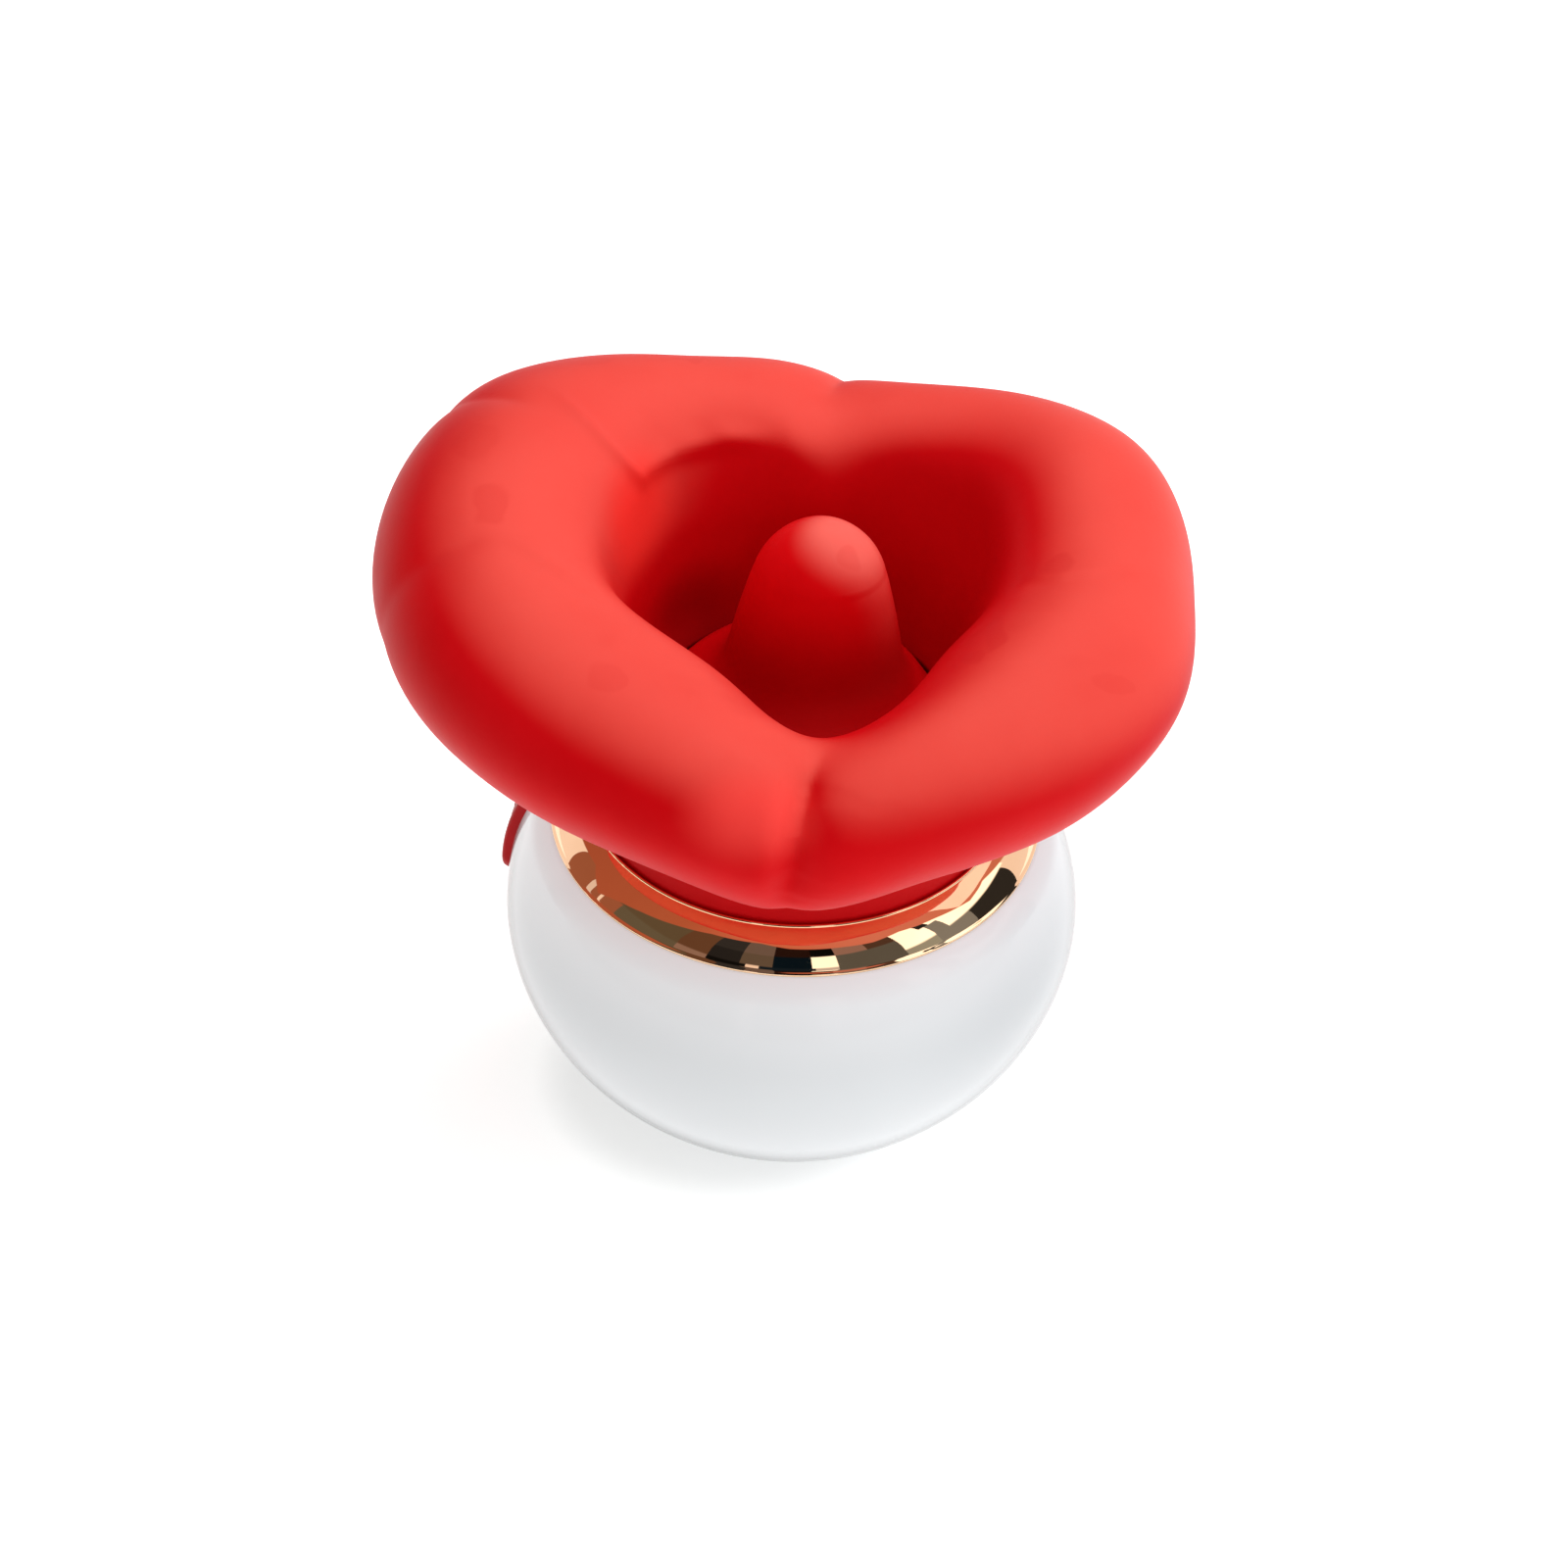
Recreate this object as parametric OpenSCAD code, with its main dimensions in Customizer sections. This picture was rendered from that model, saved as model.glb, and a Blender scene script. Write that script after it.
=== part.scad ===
// Lip-shaped hand massager: a silicone lip cup round a swinging tongue, carried by a
// gilt collar on a glossy egg-shaped base that holds the motors, battery and boards.
// Frame: z = 0 is the resting plane, +Z up, the neck axis is x = y = 0, -Y is the front.

/* [Base] */
// Largest radius of the base
base_r = 30; // [29.5:0.25:31]
// Half height of the full oval that the base profile is cut from
base_c = 26.75; // [26.5:0.25:27.5]
// Exponent of the oval: 2 is a plain ellipse
base_n = 1.892; // [1.85:0.01:1.95]
// Wall of the base shells
wall = 1.8; // [1.6:0.1:2]

/* [Lips] */
// Radius of the soft neck above the collar
neck_r = 21.4; // [21.3:0.05:21.45]
// Sections round the lips in the swept surface
lip_steps = 80; // [60:4:88]
// Height added to the crest of the lips
lip_lift = 0; // [-1:0.25:1]

/* [Tongue] */
// Radius of the ball root of the tongue
dome_r = 16.6; // [16.4:0.1:16.6]
// Height of the tongue tip above the resting plane
tongue_top = 72.6; // [71.5:0.1:74]
// Swing of the tongue either way, degrees
swing = 10; // [6:1:10]

/* [Keypad] */
// Azimuth of the keypad and of the charging contacts, degrees from +X
key_az = 162; // [160:1:165]
// Width of the keypad panel round the base
key_w = 13; // [13:0.5:14]
// Height of the keypad panel
key_h = 13.2; // [12:0.2:13.4]
// How far a button travels
key_travel = 0.6; // [0.3:0.1:0.6]

/* [Hidden] */
$fn = 48;
e = 0.01;
z0 = 23.5;          // height of the widest circle of the base
rim_z = 35.8;       // top rim of the base shells
mouth_r = 24.2;     // bore of the rim
pivot_z = 41;       // swing axis of the tongue
socket_r = dome_r + 0.4;
hole_z = 49;        // top edge of the socket in the cup's floor
crank_e = 1.9;      // throw of the crank pin
vib_x = 17.5;       // axis of the vibration motor
rib_az = [30, 145, 215, 330];
screw_az = [45, 135, 225, 315];
white = "#e6e8ea"; red = "#d8231f"; gilt = "#e0a878"; steel = "#b8bcc0"; black = "#26282a";

// ---------- the base oval ----------
function oval_r(h, d = 0) = (base_r + d) * pow(max(0, 1 - pow(min(1, abs(h) / (base_c + d)), base_n)), 1 / base_n);
function oval_el(h) = let (r = oval_r(h)) (h < 0 ? -1 : 1) *
  atan((pow(abs(h), base_n - 1) / pow(base_c, base_n)) / (pow(r, base_n - 1) / pow(base_r, base_n)));
module oval(d = 0, lo = -23.2, hi = 12.3, k = 36) {
  rotate_extrude($fn = 96) polygon(concat([[0, z0 + lo]],
    [for (i = [0:k]) let (h = lo + (hi - lo) * i / k) [oval_r(h, d) - shoulder(h, d), z0 + h]], [[0, z0 + hi]]));
}
// the outer surface draws in over its top to meet the collar's bead
function shoulder(h, d) = d == 0 && h > 10 ? 0.78 * pow((h - 10) / 2.3, 2) : 0;
// local frame on the base's surface: +x points out along the surface normal
module on_base(az, h) {
  translate([oval_r(h) * cos(az), oval_r(h) * sin(az), z0 + h]) rotate([0, 0, az]) rotate([0, -oval_el(h), 0]) children();
}
module rod_x(r, x1, x2) { translate([x1, 0, 0]) rotate([0, 90, 0]) cylinder(r = r, h = x2 - x1); }
key_hgt = 6.7;      // keypad centre above the widest circle
chg_hgt = -7.5;     // charging contacts, below it
module key_prism(g = 0) {
  w = key_w / 2 + g - 2.5; h = key_h / 2 + g - 2.5;
  on_base(key_az, key_hgt) translate([0, 0, (10 - key_h) / 2]) {
    translate([-4, -w, -h - 2.5]) cube([9, 2 * w, 2 * h + 5]);
    translate([-4, -w - 2.5, -h]) cube([9, 2 * w + 5, 2 * h]);
    for (s = [-1, 1], t = [-1, 1]) translate([0, s * w, t * h]) rod_x(2.5, -4, 5);
  }
}
module shell_both() {
  difference() {
    oval();
    // cavity, tapering in under the rim
    rotate_extrude($fn = 96) polygon(concat([[0, 4.5]],
      [for (i = [0:24]) let (h = -19 + 23.5 * i / 24) [oval_r(h, -wall), z0 + h]],
      [[mouth_r, 30.8], [mouth_r, 37], [0, 37]]));
    // pocket for the foot pad, and the screw holes over it
    translate([0, 0, -1]) cylinder(r = 12.1, h = 2.3);
    for (a = screw_az) rotate(a) translate([9.4, 0, 0]) {
      cylinder(r = 1.15, h = 6, $fn = 32);
      cylinder(r = 2.1, h = 2.7, $fn = 32);
    }
    // seat of the keypad and its holes
    difference() { key_prism(0.15); oval(-0.6, -12, 14); }
    on_base(key_az, key_hgt) {
      for (s = [-3.3, 3.3]) translate([0, s, 0]) rod_x(1.8, -6, 2);
      rod_x(0.9, -6, 2);
    }
    // charging contacts
    on_base(key_az, chg_hgt) for (s = [-3, 3]) translate([0, s, 0]) rod_x(1.25, -3, 2);
    // groove of the seam gasket
    translate([0, 0.6, 0]) rotate([90, 0, 0]) linear_extrude(1.2) gasket_outline();
  }
}
module gasket_outline() {
  difference() {
    polygon(concat([for (i = [0:20]) let (h = -18 + 27 * i / 20) [oval_r(h, -0.6), z0 + h]],
      [for (i = [20:-1:0]) let (h = -18 + 27 * i / 20) [-oval_r(h, -0.6), z0 + h]]));
    polygon(concat([for (i = [0:20]) let (h = -18 + 27 * i / 20) [oval_r(h, -1.2), z0 + h - (i == 0 ? 1 : 0) + (i == 20 ? 1 : 0)]],
      [for (i = [20:-1:0]) let (h = -18 + 27 * i / 20) [-oval_r(h, -1.2), z0 + h - (i == 0 ? 1 : 0) + (i == 20 ? 1 : 0)]]));
  }
}
module front_shell() {
  color(white) intersection() { shell_both(); translate([-40, -40, -5]) cube([80, 40 - 0.03, 60]); }
}
module rear_shell() {
  color(white) {
    intersection() { shell_both(); translate([-40, 0.03, -5]) cube([80, 40, 60]); }
    // posts of the charging board
    on_base(key_az, chg_hgt) for (s = [-5.3, 5.3]) translate([0, s, 0]) rod_x(0.8, -3.9, -1.2);
  }
}
module seam_gasket() { color(black) translate([0, 0.5, 0]) rotate([90, 0, 0]) linear_extrude(1) gasket_outline(); }
module foot_pad() { color(red) { cylinder(r = 12, h = 1.25); } }
module screw(l, r = 0.8, hr = 1.8, hh = 1.1) {
  difference() {
    union() { cylinder(r = hr, h = hh, $fn = 32); translate([0, 0, -l]) cylinder(r = r, h = l + e, $fn = 32); }
    for (a = [0, 90]) rotate(a) translate([-hr * 0.6, -0.2, hh - 0.5]) cube([hr * 1.2, 0.4, 1]);
  }
}
module base_screws() {
  color(steel) for (a = screw_az) rotate(a) translate([9.4, 0, 2.68]) rotate([180, 0, 0]) screw(5.8);
}
// ---------- collar ----------
module collar_ring() {
  // thin bead at the foot, then a convex band that leans in to a rolled inner edge
  color(gilt) rotate_extrude($fn = 128) translate([0, rim_z]) polygon([[21.55, 0], [25.2, 0], [25.26, 0.08], [25.26, 0.24], [25.22, 0.32],
    [25.16, 0.38], [25.02, 0.51], [24.9, 0.7], [24.74, 0.94], [24.57, 1.18], [24.39, 1.42], [24.21, 1.66], [24.01, 1.89],
    [23.81, 2.11], [23.6, 2.32], [23.38, 2.53], [23.15, 2.72], [22.92, 2.91], [22.68, 3.09], [22.43, 3.26], [22.18, 3.42], [22, 3.54],
    [21.95, 3.6], [21.93, 3.69], [21.88, 3.76], [21.8, 3.8], [21.7, 3.8], [21.62, 3.76], [21.57, 3.69], [21.55, 3.6]]);
}
// ---------- lips ----------
// azimuth, inner radius, outer radius, height of the roll's widest level, crest height, radius of the cup's wall low down
LIP = [
  [0, 17.4, 38.7, 63.9, 74.0, 15.8], [25, 18.3, 40.1, 64.3, 74.9, 15.8], [50, 17.8, 36.4, 64.1, 73.4, 15.8],
  [70, 16.0, 32.4, 63.9, 72.5, 15.6], [83, 14.6, 32.5, 64.0, 72.2, 15.5], [97, 15.0, 33.6, 64.6, 73.1, 15.5],
  [115, 16.8, 35.6, 64.4, 73.9, 16.0], [140, 18.1, 43.3, 64.3, 74.9, 16.8], [158, 18.0, 44.1, 64.2, 75.5, 16.8],
  [180, 17.8, 42.8, 63.2, 74.2, 16.6], [205, 16.8, 40.5, 63.0, 73.3, 16.0], [230, 14.9, 37.8, 61.9, 71.3, 15.6],
  [255, 16.6, 37.0, 60.4, 69.2, 15.5], [272, 20.3, 37.2, 58.9, 68.0, 15.5], [290, 20.2, 36.4, 60.6, 69.1, 15.5],
  [315, 16.8, 38.0, 62.2, 71.9, 15.5], [338, 17.1, 39.5, 63.8, 73.4, 15.6]];
// creases: azimuth, lean in degrees per mm past radius 30, half width in degrees, depth
CREASE = [[83, -0.4, 4, 0.07], [272, -0.6, 5, 0.09], [152, 0, 4, 0.03], [190, 0, 6, 0.03]];
NL = len(LIP);
function wr(i) = ((i % NL) + NL) % NL;
function s_az(i) = LIP[wr(i)][0] + 360 * floor(i / NL);
function s_v(i) = let (s = LIP[wr(i)]) [s[1], s[2], s[3] + lip_lift, s[4] + lip_lift, s[5]];
function s_seg(q, i = 0) = (i + 1 >= NL || LIP[i + 1][0] > q) ? i : s_seg(q, i + 1);
function herm(y1, y2, m1, m2, t) = (2*t*t*t - 3*t*t + 1)*y1 + (t*t*t - 2*t*t + t)*m1 + (3*t*t - 2*t*t*t)*y2 + (t*t*t - t*t)*m2;
function lip_at(q) = let (k = s_seg(q), x0 = s_az(k - 1), x1 = s_az(k), x2 = s_az(k + 1), x3 = s_az(k + 2),
  m1 = (s_v(k + 1) - s_v(k - 1)) / (x2 - x0) * (x2 - x1), m2 = (s_v(k + 2) - s_v(k)) / (x3 - x1) * (x2 - x1))
  herm(s_v(k), s_v(k + 1), m1, m2, (q - x1) / (x2 - x1));
// one section of the roll, from the socket's edge over the crest to the neck
function roll(v) = let (ri = v[0], ro = v[1], zc = v[2], zt = v[3], rw = v[4], rc = (ri + ro) / 2, a = (ro - ri) / 2,
  b = zt - zc, b2 = min(a, b), c = 0.7071, ux = rc + a * 0.72, uz = zc - b2 * 0.72)
  [[sqrt(socket_r*socket_r - (hole_z - pivot_z)*(hole_z - pivot_z)), hole_z], [rw, hole_z + 2.8],
   [rw + 0.35 * (ri - rw), (hole_z + 2.8 + zc) / 2], [ri, zc - 0.5], [rc - a * c, zc + b * c], [rc, zt],
   [rc + a * c, zc + b * c], [ro, zc], [ux, uz],
   [neck_r + 0.32 * (ux - neck_r), uz - 0.55 * (uz - 44.5)], [neck_r, 43.5], [neck_r, 39.5]];
function dist(a, b) = max(1e-3, sqrt(norm(b - a)));
function ext(P, i) = i < 0 ? 2 * P[0] - P[1] : i >= len(P) ? 2 * P[len(P) - 1] - P[len(P) - 2] : P[i];
function cr(P, i, t) = let (p0 = ext(P, i - 1), p1 = P[i], p2 = P[i + 1], p3 = ext(P, i + 2),
  d1 = dist(p0, p1), d2 = dist(p1, p2), d3 = dist(p2, p3),
  m1 = ((p1 - p0) / d1 - (p2 - p0) / (d1 + d2) + (p2 - p1) / d2) * d2,
  m2 = ((p2 - p1) / d2 - (p3 - p1) / (d2 + d3) + (p3 - p2) / d3) * d2) herm(p1, p2, m1, m2, t);
function spline(P, per) = concat([for (i = [0:len(P) - 2], j = [0:per - 1]) cr(P, i, j / per)], [P[len(P) - 1]]);
function clamp01(x) = max(0, min(1, x));
function dep(q, r) = [for (c = CREASE) let (d = ((q - c[0] - c[1] * (r - 30) + 900) % 360) - 180) c[3] * exp(-sqrt(d*d/(c[2]*c[2]) + 0.02))];
function total(L, i = 0) = i >= len(L) ? 0 : L[i] + total(L, i + 1);
function creased(p, q, v) = let (k = total(dep(q, p[0])) * clamp01((p[1] - 45.5) / 8) * clamp01((p[0] - 14) / 6))
  [p[0] - (p[0] - (v[0] + v[1]) / 2) * k, p[1] - (p[1] - (v[2] - 2)) * k * 1.6];
// neck, clamped foot flange, sleeve bore and ball socket, closing the section
function neck_pts() = concat([[neck_r, 35.65], [23.8, 35.65], [23.8, 33.5], [19.8, 33.5], [19.8, 43.15]],
  [for (z = [43.15, 45, 47]) [sqrt(socket_r*socket_r - (z - pivot_z)*(z - pivot_z)), z]]);
module loft(R, closed) {           // R: rings of equal length; closed: the rings join up in a loop
  n = len(R); m = len(R[0]);
  pts = concat([for (r = R, p = r) p], closed ? [] : [total3(R[0], m) / m, total3(R[n - 1], m) / m]);
  polyhedron(pts, concat(
    [for (i = [0:(closed ? n - 1 : n - 2)], j = [0:m - 1]) let (a = i*m + j, b = i*m + (j + 1) % m, c = ((i + 1) % n)*m + (j + 1) % m, d = ((i + 1) % n)*m + j) [a, b, c]],
    [for (i = [0:(closed ? n - 1 : n - 2)], j = [0:m - 1]) let (a = i*m + j, c = ((i + 1) % n)*m + (j + 1) % m, d = ((i + 1) % n)*m + j) [a, c, d]],
    closed ? [] : [for (j = [0:m - 1]) [n*m, (j + 1) % m, j]],
    closed ? [] : [for (j = [0:m - 1]) [n*m + 1, (n - 1)*m + j, (n - 1)*m + (j + 1) % m]]), convexity = 8);
}
function total3(L, m, i = 0) = i >= m ? [0, 0, 0] : L[i] + total3(L, m, i + 1);
module lip_cup() {
  rings = [for (i = [0:lip_steps - 1]) let (q = i * 360 / lip_steps, v = lip_at(q),
    S = concat([for (p = spline(roll(v), 3)) creased(p, q, v)], neck_pts()))
    [for (p = S) [p[0] * cos(q), p[0] * sin(q), p[1]]]];
  color(red) loft(rings, true);
}
// ---------- tongue ----------
// height, half width, half depth above the ball root, at the standard tip height
TONGUE = [[53.4, 10.8, 10.3], [54.6, 9.8, 8.7], [56.2, 9.0, 7.4], [58.5, 8.5, 6.7], [61, 8.0, 6.3], [63.5, 7.4, 5.9],
  [66, 6.8, 5.5], [68.3, 6.0, 5.0], [70.3, 5.0, 4.3], [71.9, 3.8, 3.4], [73.0, 2.4, 2.2], [73.6, 1.0, 1.0]];
function lean(z) = let (t = clamp01((z - 50) / 6)) 1.3 * t * t * (3 - 2 * t) + 0.02 * max(0, z - 56);
function ball(r, z) = sqrt(max(0.01, r*r - (z - pivot_z)*(z - pivot_z)));
function stretch(z) = z < 58 ? z : 58 + (z - 58) * (tongue_top - 58) / 15.75;
module tongue_cover() {
  n = 40;
  inner = concat([[0.01, 65.2], [2.7, 65.2], [2.7, 60], [2.7, 54.6]], [for (z = [54.2, 53, 51, 49, 47, 45]) [ball(dome_r - 2, z), z]]);
  rings = concat(
    [for (p = inner) [for (j = [0:n - 1]) let (t = j * 360 / n) [(p[1] > 54.5 ? 1.4 : 0) + p[0] * cos(t), p[0] * sin(t), p[1]]]],
    [for (z = [45, 46.5, 48, 49.5, 51, 52.3]) [for (j = [0:n - 1]) let (t = j * 360 / n) [ball(dome_r, z) * cos(t), ball(dome_r, z) * sin(t), z]]],
    [for (p = TONGUE) [for (j = [0:n - 1]) let (t = j * 360 / n) [lean(p[0]) + p[1] * cos(t), p[2] * sin(t), stretch(p[0])]]],
    [[for (j = [0:n - 1]) let (t = j * 360 / n) [lean(73.6) + 0.01 * cos(t), 0.01 * sin(t), tongue_top]]]);
  color(red) loft(rings, false);
}
module tongue_arm() {
  color(black) difference() {
    union() {
      translate([0, 0, pivot_z]) rod_x(3.4, -7.3, 7.3);
      translate([1.4, 0, pivot_z]) cylinder(r = 2.6, h = 24);
      translate([-1.6, -2, pivot_z]) cube([6, 4, 8]);
      // fork over the crank pin
      translate([-2, -2.2, 33]) cube([4, 4.4, 8]);
      translate([-2, -7.1, 32.2]) cube([4, 14.2, 2.6]);
      for (s = [-1, 1]) translate([-2, s * 6.1 - 1, 28.2]) cube([4, 2, 5]);
    }
    translate([0, 0, pivot_z]) rod_x(1.05, -10, 10);
  }
}
module pivot_pin() { color(steel) translate([0, 0, pivot_z]) rod_x(1, -10.2, 10.2); }
module pivot_washers() {
  color(steel) for (s = [-1, 1]) translate([s * 7.55, 0, pivot_z]) difference() { rod_x(2.4, -0.18, 0.18); rod_x(1.04, -1, 1); }
}
module neck_frame() {
  color(white) difference() {
    union() {
      translate([0, 0, 31.4]) cylinder(r = 24, h = 2, $fn = 96);
      translate([0, 0, 33.3]) cylinder(r = 19.7, h = 9.7, $fn = 96);
    }
    translate([0, 0, 33.4]) difference() {
      cylinder(r = 17.6, h = 20, $fn = 96);
      for (s = [-1, 1]) {
        translate([s * 8.9 - 1.1, -3, -e]) cube([2.2, 6, pivot_z - 33.4 + e]);
        translate([s * 8.9, 0, pivot_z - 33.4]) rod_x(3, -1.1, 1.1);
      }
    }
    translate([-7, -9.6, 30]) cube([14, 19.2, 6]);
    translate([0, 0, pivot_z]) rod_x(1.005, -12, 12);
    for (a = rib_az) rotate(a) translate([14.6, 0, 30]) cylinder(r = 1, h = 6, $fn = 32);
    translate([0, 0, 32.4]) rotate_extrude($fn = 96) translate([23.75, 0]) circle(r = 0.5, $fn = 24);
  }
}
module neck_seal() { color(black) translate([0, 0, 32.4]) rotate_extrude($fn = 96) translate([23.72, 0]) circle(r = 0.45, $fn = 24); }
module neck_screws() { color(steel) for (a = rib_az) rotate(a) translate([14.6, 0, 33.42]) screw(5); }
// ---------- inner frame ----------
module inner_frame() {
  color("#3a3d42") difference() {
    union() {
      translate([0, 0, 4.6]) cylinder(r = 15.5, h = 1.8);
      translate([0, 0, 5]) cylinder(r = 10, h = 17);
      for (a = rib_az) rotate(a) {
        translate([0, 0.8, 0]) rotate([90, 0, 0]) linear_extrude(1.6) polygon([[9, 5], [14, 5], [16.6, 9], [16.6, 31.35], [12.6, 31.35], [12.6, 21.5], [9, 21.5]]);
        translate([14.6, 0, 22]) cylinder(r = 2.2, h = 9.35);
      }
      for (a = screw_az) rotate(a) translate([9.4, 0, 5]) cylinder(r = 2.2, h = 5);
      // cradle of the vibration motor
      translate([vib_x, 0, 11]) cylinder(r = 5.1, h = 8.5);
      translate([8.8, -2, 11]) cube([6, 4, 8.5]);
      // battery shelf
      translate([-10, 9, 10.2]) cube([23, 9.6, 1.6]);
      translate([-4, 6, 6]) cube([8, 8, 5]);
      // board stand-offs
      for (x = [-6, 6], z = [12, 20]) translate([x, -6.5, z]) rotate([90, 0, 0]) cylinder(r = 1.8, h = 4.85);
      // keypad bracket
      rotate(key_az) translate([0, 1, 0]) rotate([90, 0, 0]) linear_extrude(2) polygon([[8.5, 8], [12, 8], [20.6, 20.6], [22.8, 24.6], [22.2, 27], [20.8, 27], [16, 21.5], [8.5, 21.5]]);
      on_base(key_az, key_hgt) translate([-7.9, -5, -3.2]) cube([1.2, 10, 5.6]);
    }
    translate([0, 0, 6.4]) cylinder(r = 7.7, h = 30);
    for (a = rib_az) rotate(a) translate([14.6, 0, 26]) cylinder(r = 0.85, h = 8, $fn = 32);
    for (a = screw_az) rotate(a) translate([9.4, 0, 3]) cylinder(r = 0.85, h = 6, $fn = 32);
    translate([vib_x, 0, 10]) cylinder(r = 4.05, h = 12);
    for (x = [-6, 6], z = [12, 20]) translate([x, -9.2, z]) rotate([90, 0, 0]) cylinder(r = 0.65, h = 6, $fn = 32);
    for (s = [-1, 1]) translate([0, s * 8.9, 17.4]) cylinder(r = 0.65, h = 6, $fn = 32);
    translate([0, 0, 22.0]) cylinder(r = 10.3, h = 1.55);
  }
}
module swing_motor() {
  color(steel) difference() {
    union() { translate([0, 0, 6.5]) cylinder(r = 7.5, h = 14.8); translate([0, 0, 20]) cylinder(r = 2.6, h = 2.6); }
    translate([0, 0, 14]) cylinder(r = 0.8, h = 12);
    for (s = [-1, 1]) translate([s * 8.6 - 2, -8, 8]) cube([4, 16, 4]);
  }
}
module motor_shaft() { color(steel) translate([0, 0, 14.2]) cylinder(r = 0.75, h = 11.8); }
module motor_clamp() {
  color("#3a3d42") difference() {
    translate([0, 0, 22.05]) cylinder(r = 10, h = 1.4);
    translate([0, 0, 20]) cylinder(r = 2.75, h = 6);
    for (s = [-1, 1]) translate([0, s * 8.9, 20]) cylinder(r = 0.7, h = 6, $fn = 32);
  }
}
module clamp_screws() { color(steel) for (s = [-1, 1]) translate([0, s * 8.9, 23.47]) screw(4.4, 0.6, 1.0, 0.7); }
module crank_disc() {
  color("#d9d9d2") difference() {
    union() { translate([0, 0, 24.4]) cylinder(r = 5, h = 2.2); }
    translate([0, 0, 20]) cylinder(r = 0.76, h = 10);
    translate([crank_e, 0, 24]) cylinder(r = 0.61, h = 6);
    translate([-3.2, 0, 24]) cylinder(r = 0.9, h = 6);
  }
}
module crank_pin() { color(steel) translate([crank_e, 0, 24.5]) cylinder(r = 0.6, h = 6.7); }
// ---------- vibration ----------
module vibration_motor() {
  color(steel) difference() {
    union() { translate([vib_x, 0, 10.4]) cylinder(r = 4, h = 10); translate([vib_x, 0, 20]) cylinder(r = 1.4, h = 0.9); }
    translate([vib_x, 0, 15]) cylinder(r = 0.55, h = 12);
  }
}
module vibration_shaft() { color(steel) translate([vib_x, 0, 15.2]) cylinder(r = 0.5, h = 9.9); }
module eccentric_weight() {
  color("#8d8a80") translate([vib_x, 0, 21.3]) difference() {
    union() { cylinder(r = 1.7, h = 3.8); intersection() { cylinder(r = 4.6, h = 3.8); translate([0, -5, -1]) cube([10, 10, 8]); } }
    translate([0, 0, -1]) cylinder(r = 0.51, h = 9);
  }
}
// ---------- electrics ----------
module battery_cell() { color("#5b7fa8") { translate([-9.8, 12.2, 12.4]) cube([23.6, 6.4, 17.6]); translate([-6, 13, 30]) cube([16, 4.8, 0.9]); } }
module battery_pad() { color(black) translate([-9.8, 12.2, 11.85]) cube([23.6, 6.4, 0.5]); }
module battery_leads() { color("#c02020") for (z = [24.6, 26]) translate([9.6, 12.19, z]) rotate([90, 0, 0]) cylinder(r = 0.45, h = 12.19 + 11.39); }
module main_board() {
  color("#1f6b3a") difference() {
    translate([-13, -13, 9.5]) cube([26, 1.6, 18]);
    for (x = [-6, 6], z = [12, 20]) translate([x, -10, z]) rotate([90, 0, 0]) cylinder(r = 0.8, h = 6, $fn = 32);
  }
}
module board_parts() {
  color(black) {
    translate([-3.5, -14.1, 13]) cube([7, 1.1, 5]);
    translate([-10.5, -13.9, 15]) cube([3, 0.9, 3]);
    translate([8, -14.4, 14]) cube([3.4, 1.4, 4]);
    translate([-11, -14.6, 23]) cube([5, 1.6, 3]);
    translate([-2, -13.7, 23]) cube([2, 0.7, 1.2]);
    translate([2, -13.7, 23]) cube([2, 0.7, 1.2]);
  }
}
module board_screws() { color(steel) for (x = [-6, 6], z = [12, 20]) translate([x, -13.02, z]) rotate([90, 0, 0]) screw(3.4, 0.6, 1.2, 0.8); }
// ---------- keypad ----------
module keypad_panel() {
  color(red) difference() {
    intersection() { key_prism(); oval(1.1, -3, 12.2, 24); }
    oval(-0.58, -6, 14, 24);
    on_base(key_az, key_hgt) for (s = [-3.3, 3.3]) translate([0, s, 0]) rod_x(2.7, -5, 5);
  }
}
module key_cap(s) {
  color(red) intersection() {
    on_base(key_az, key_hgt) translate([0, s, 0]) rotate([0, 90, 0]) rotate_extrude($fn = 48)
      polygon([[0, -3.4], [1.4, -3.4], [1.4, 0.15], [2.4, 0.15], [2.4, 1.3], [0, 1.3]]);
    oval(1.18, -3, 12.2, 24);
  }
}
module power_button() { key_cap(3.3); }
module mode_button() { key_cap(-3.3); }
module key_board() { color("#1f6b3a") on_base(key_az, key_hgt) translate([-6.6, -5.4, -3]) cube([1, 10.8, 6]); }
module tact_switches() {
  color(black) on_base(key_az, key_hgt) for (s = [-3.3, 3.3]) translate([0, s, 0]) {
    translate([-5.58, -1.5, -1.5]) cube([1.1, 3, 3]);
    rod_x(0.75, -4.6, -4.15);
  }
}
module status_led() { color("#f4f1c8") on_base(key_az, key_hgt) translate([-5.58, -0.8, -0.4]) cube([0.7, 1.6, 0.8]); }
module charge_contacts() { color(gilt) on_base(key_az, chg_hgt) for (s = [-3, 3]) translate([0, s, 0]) rod_x(1.2, -3.9, 0.1); }
module charge_board() { color("#1f6b3a") on_base(key_az, chg_hgt) translate([-4.92, -6.2, -2.2]) cube([1, 12.4, 4.4]); }
module charge_magnet() { color(steel) on_base(key_az, chg_hgt) rod_x(1.5, -3.7, -2.2); }

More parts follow.
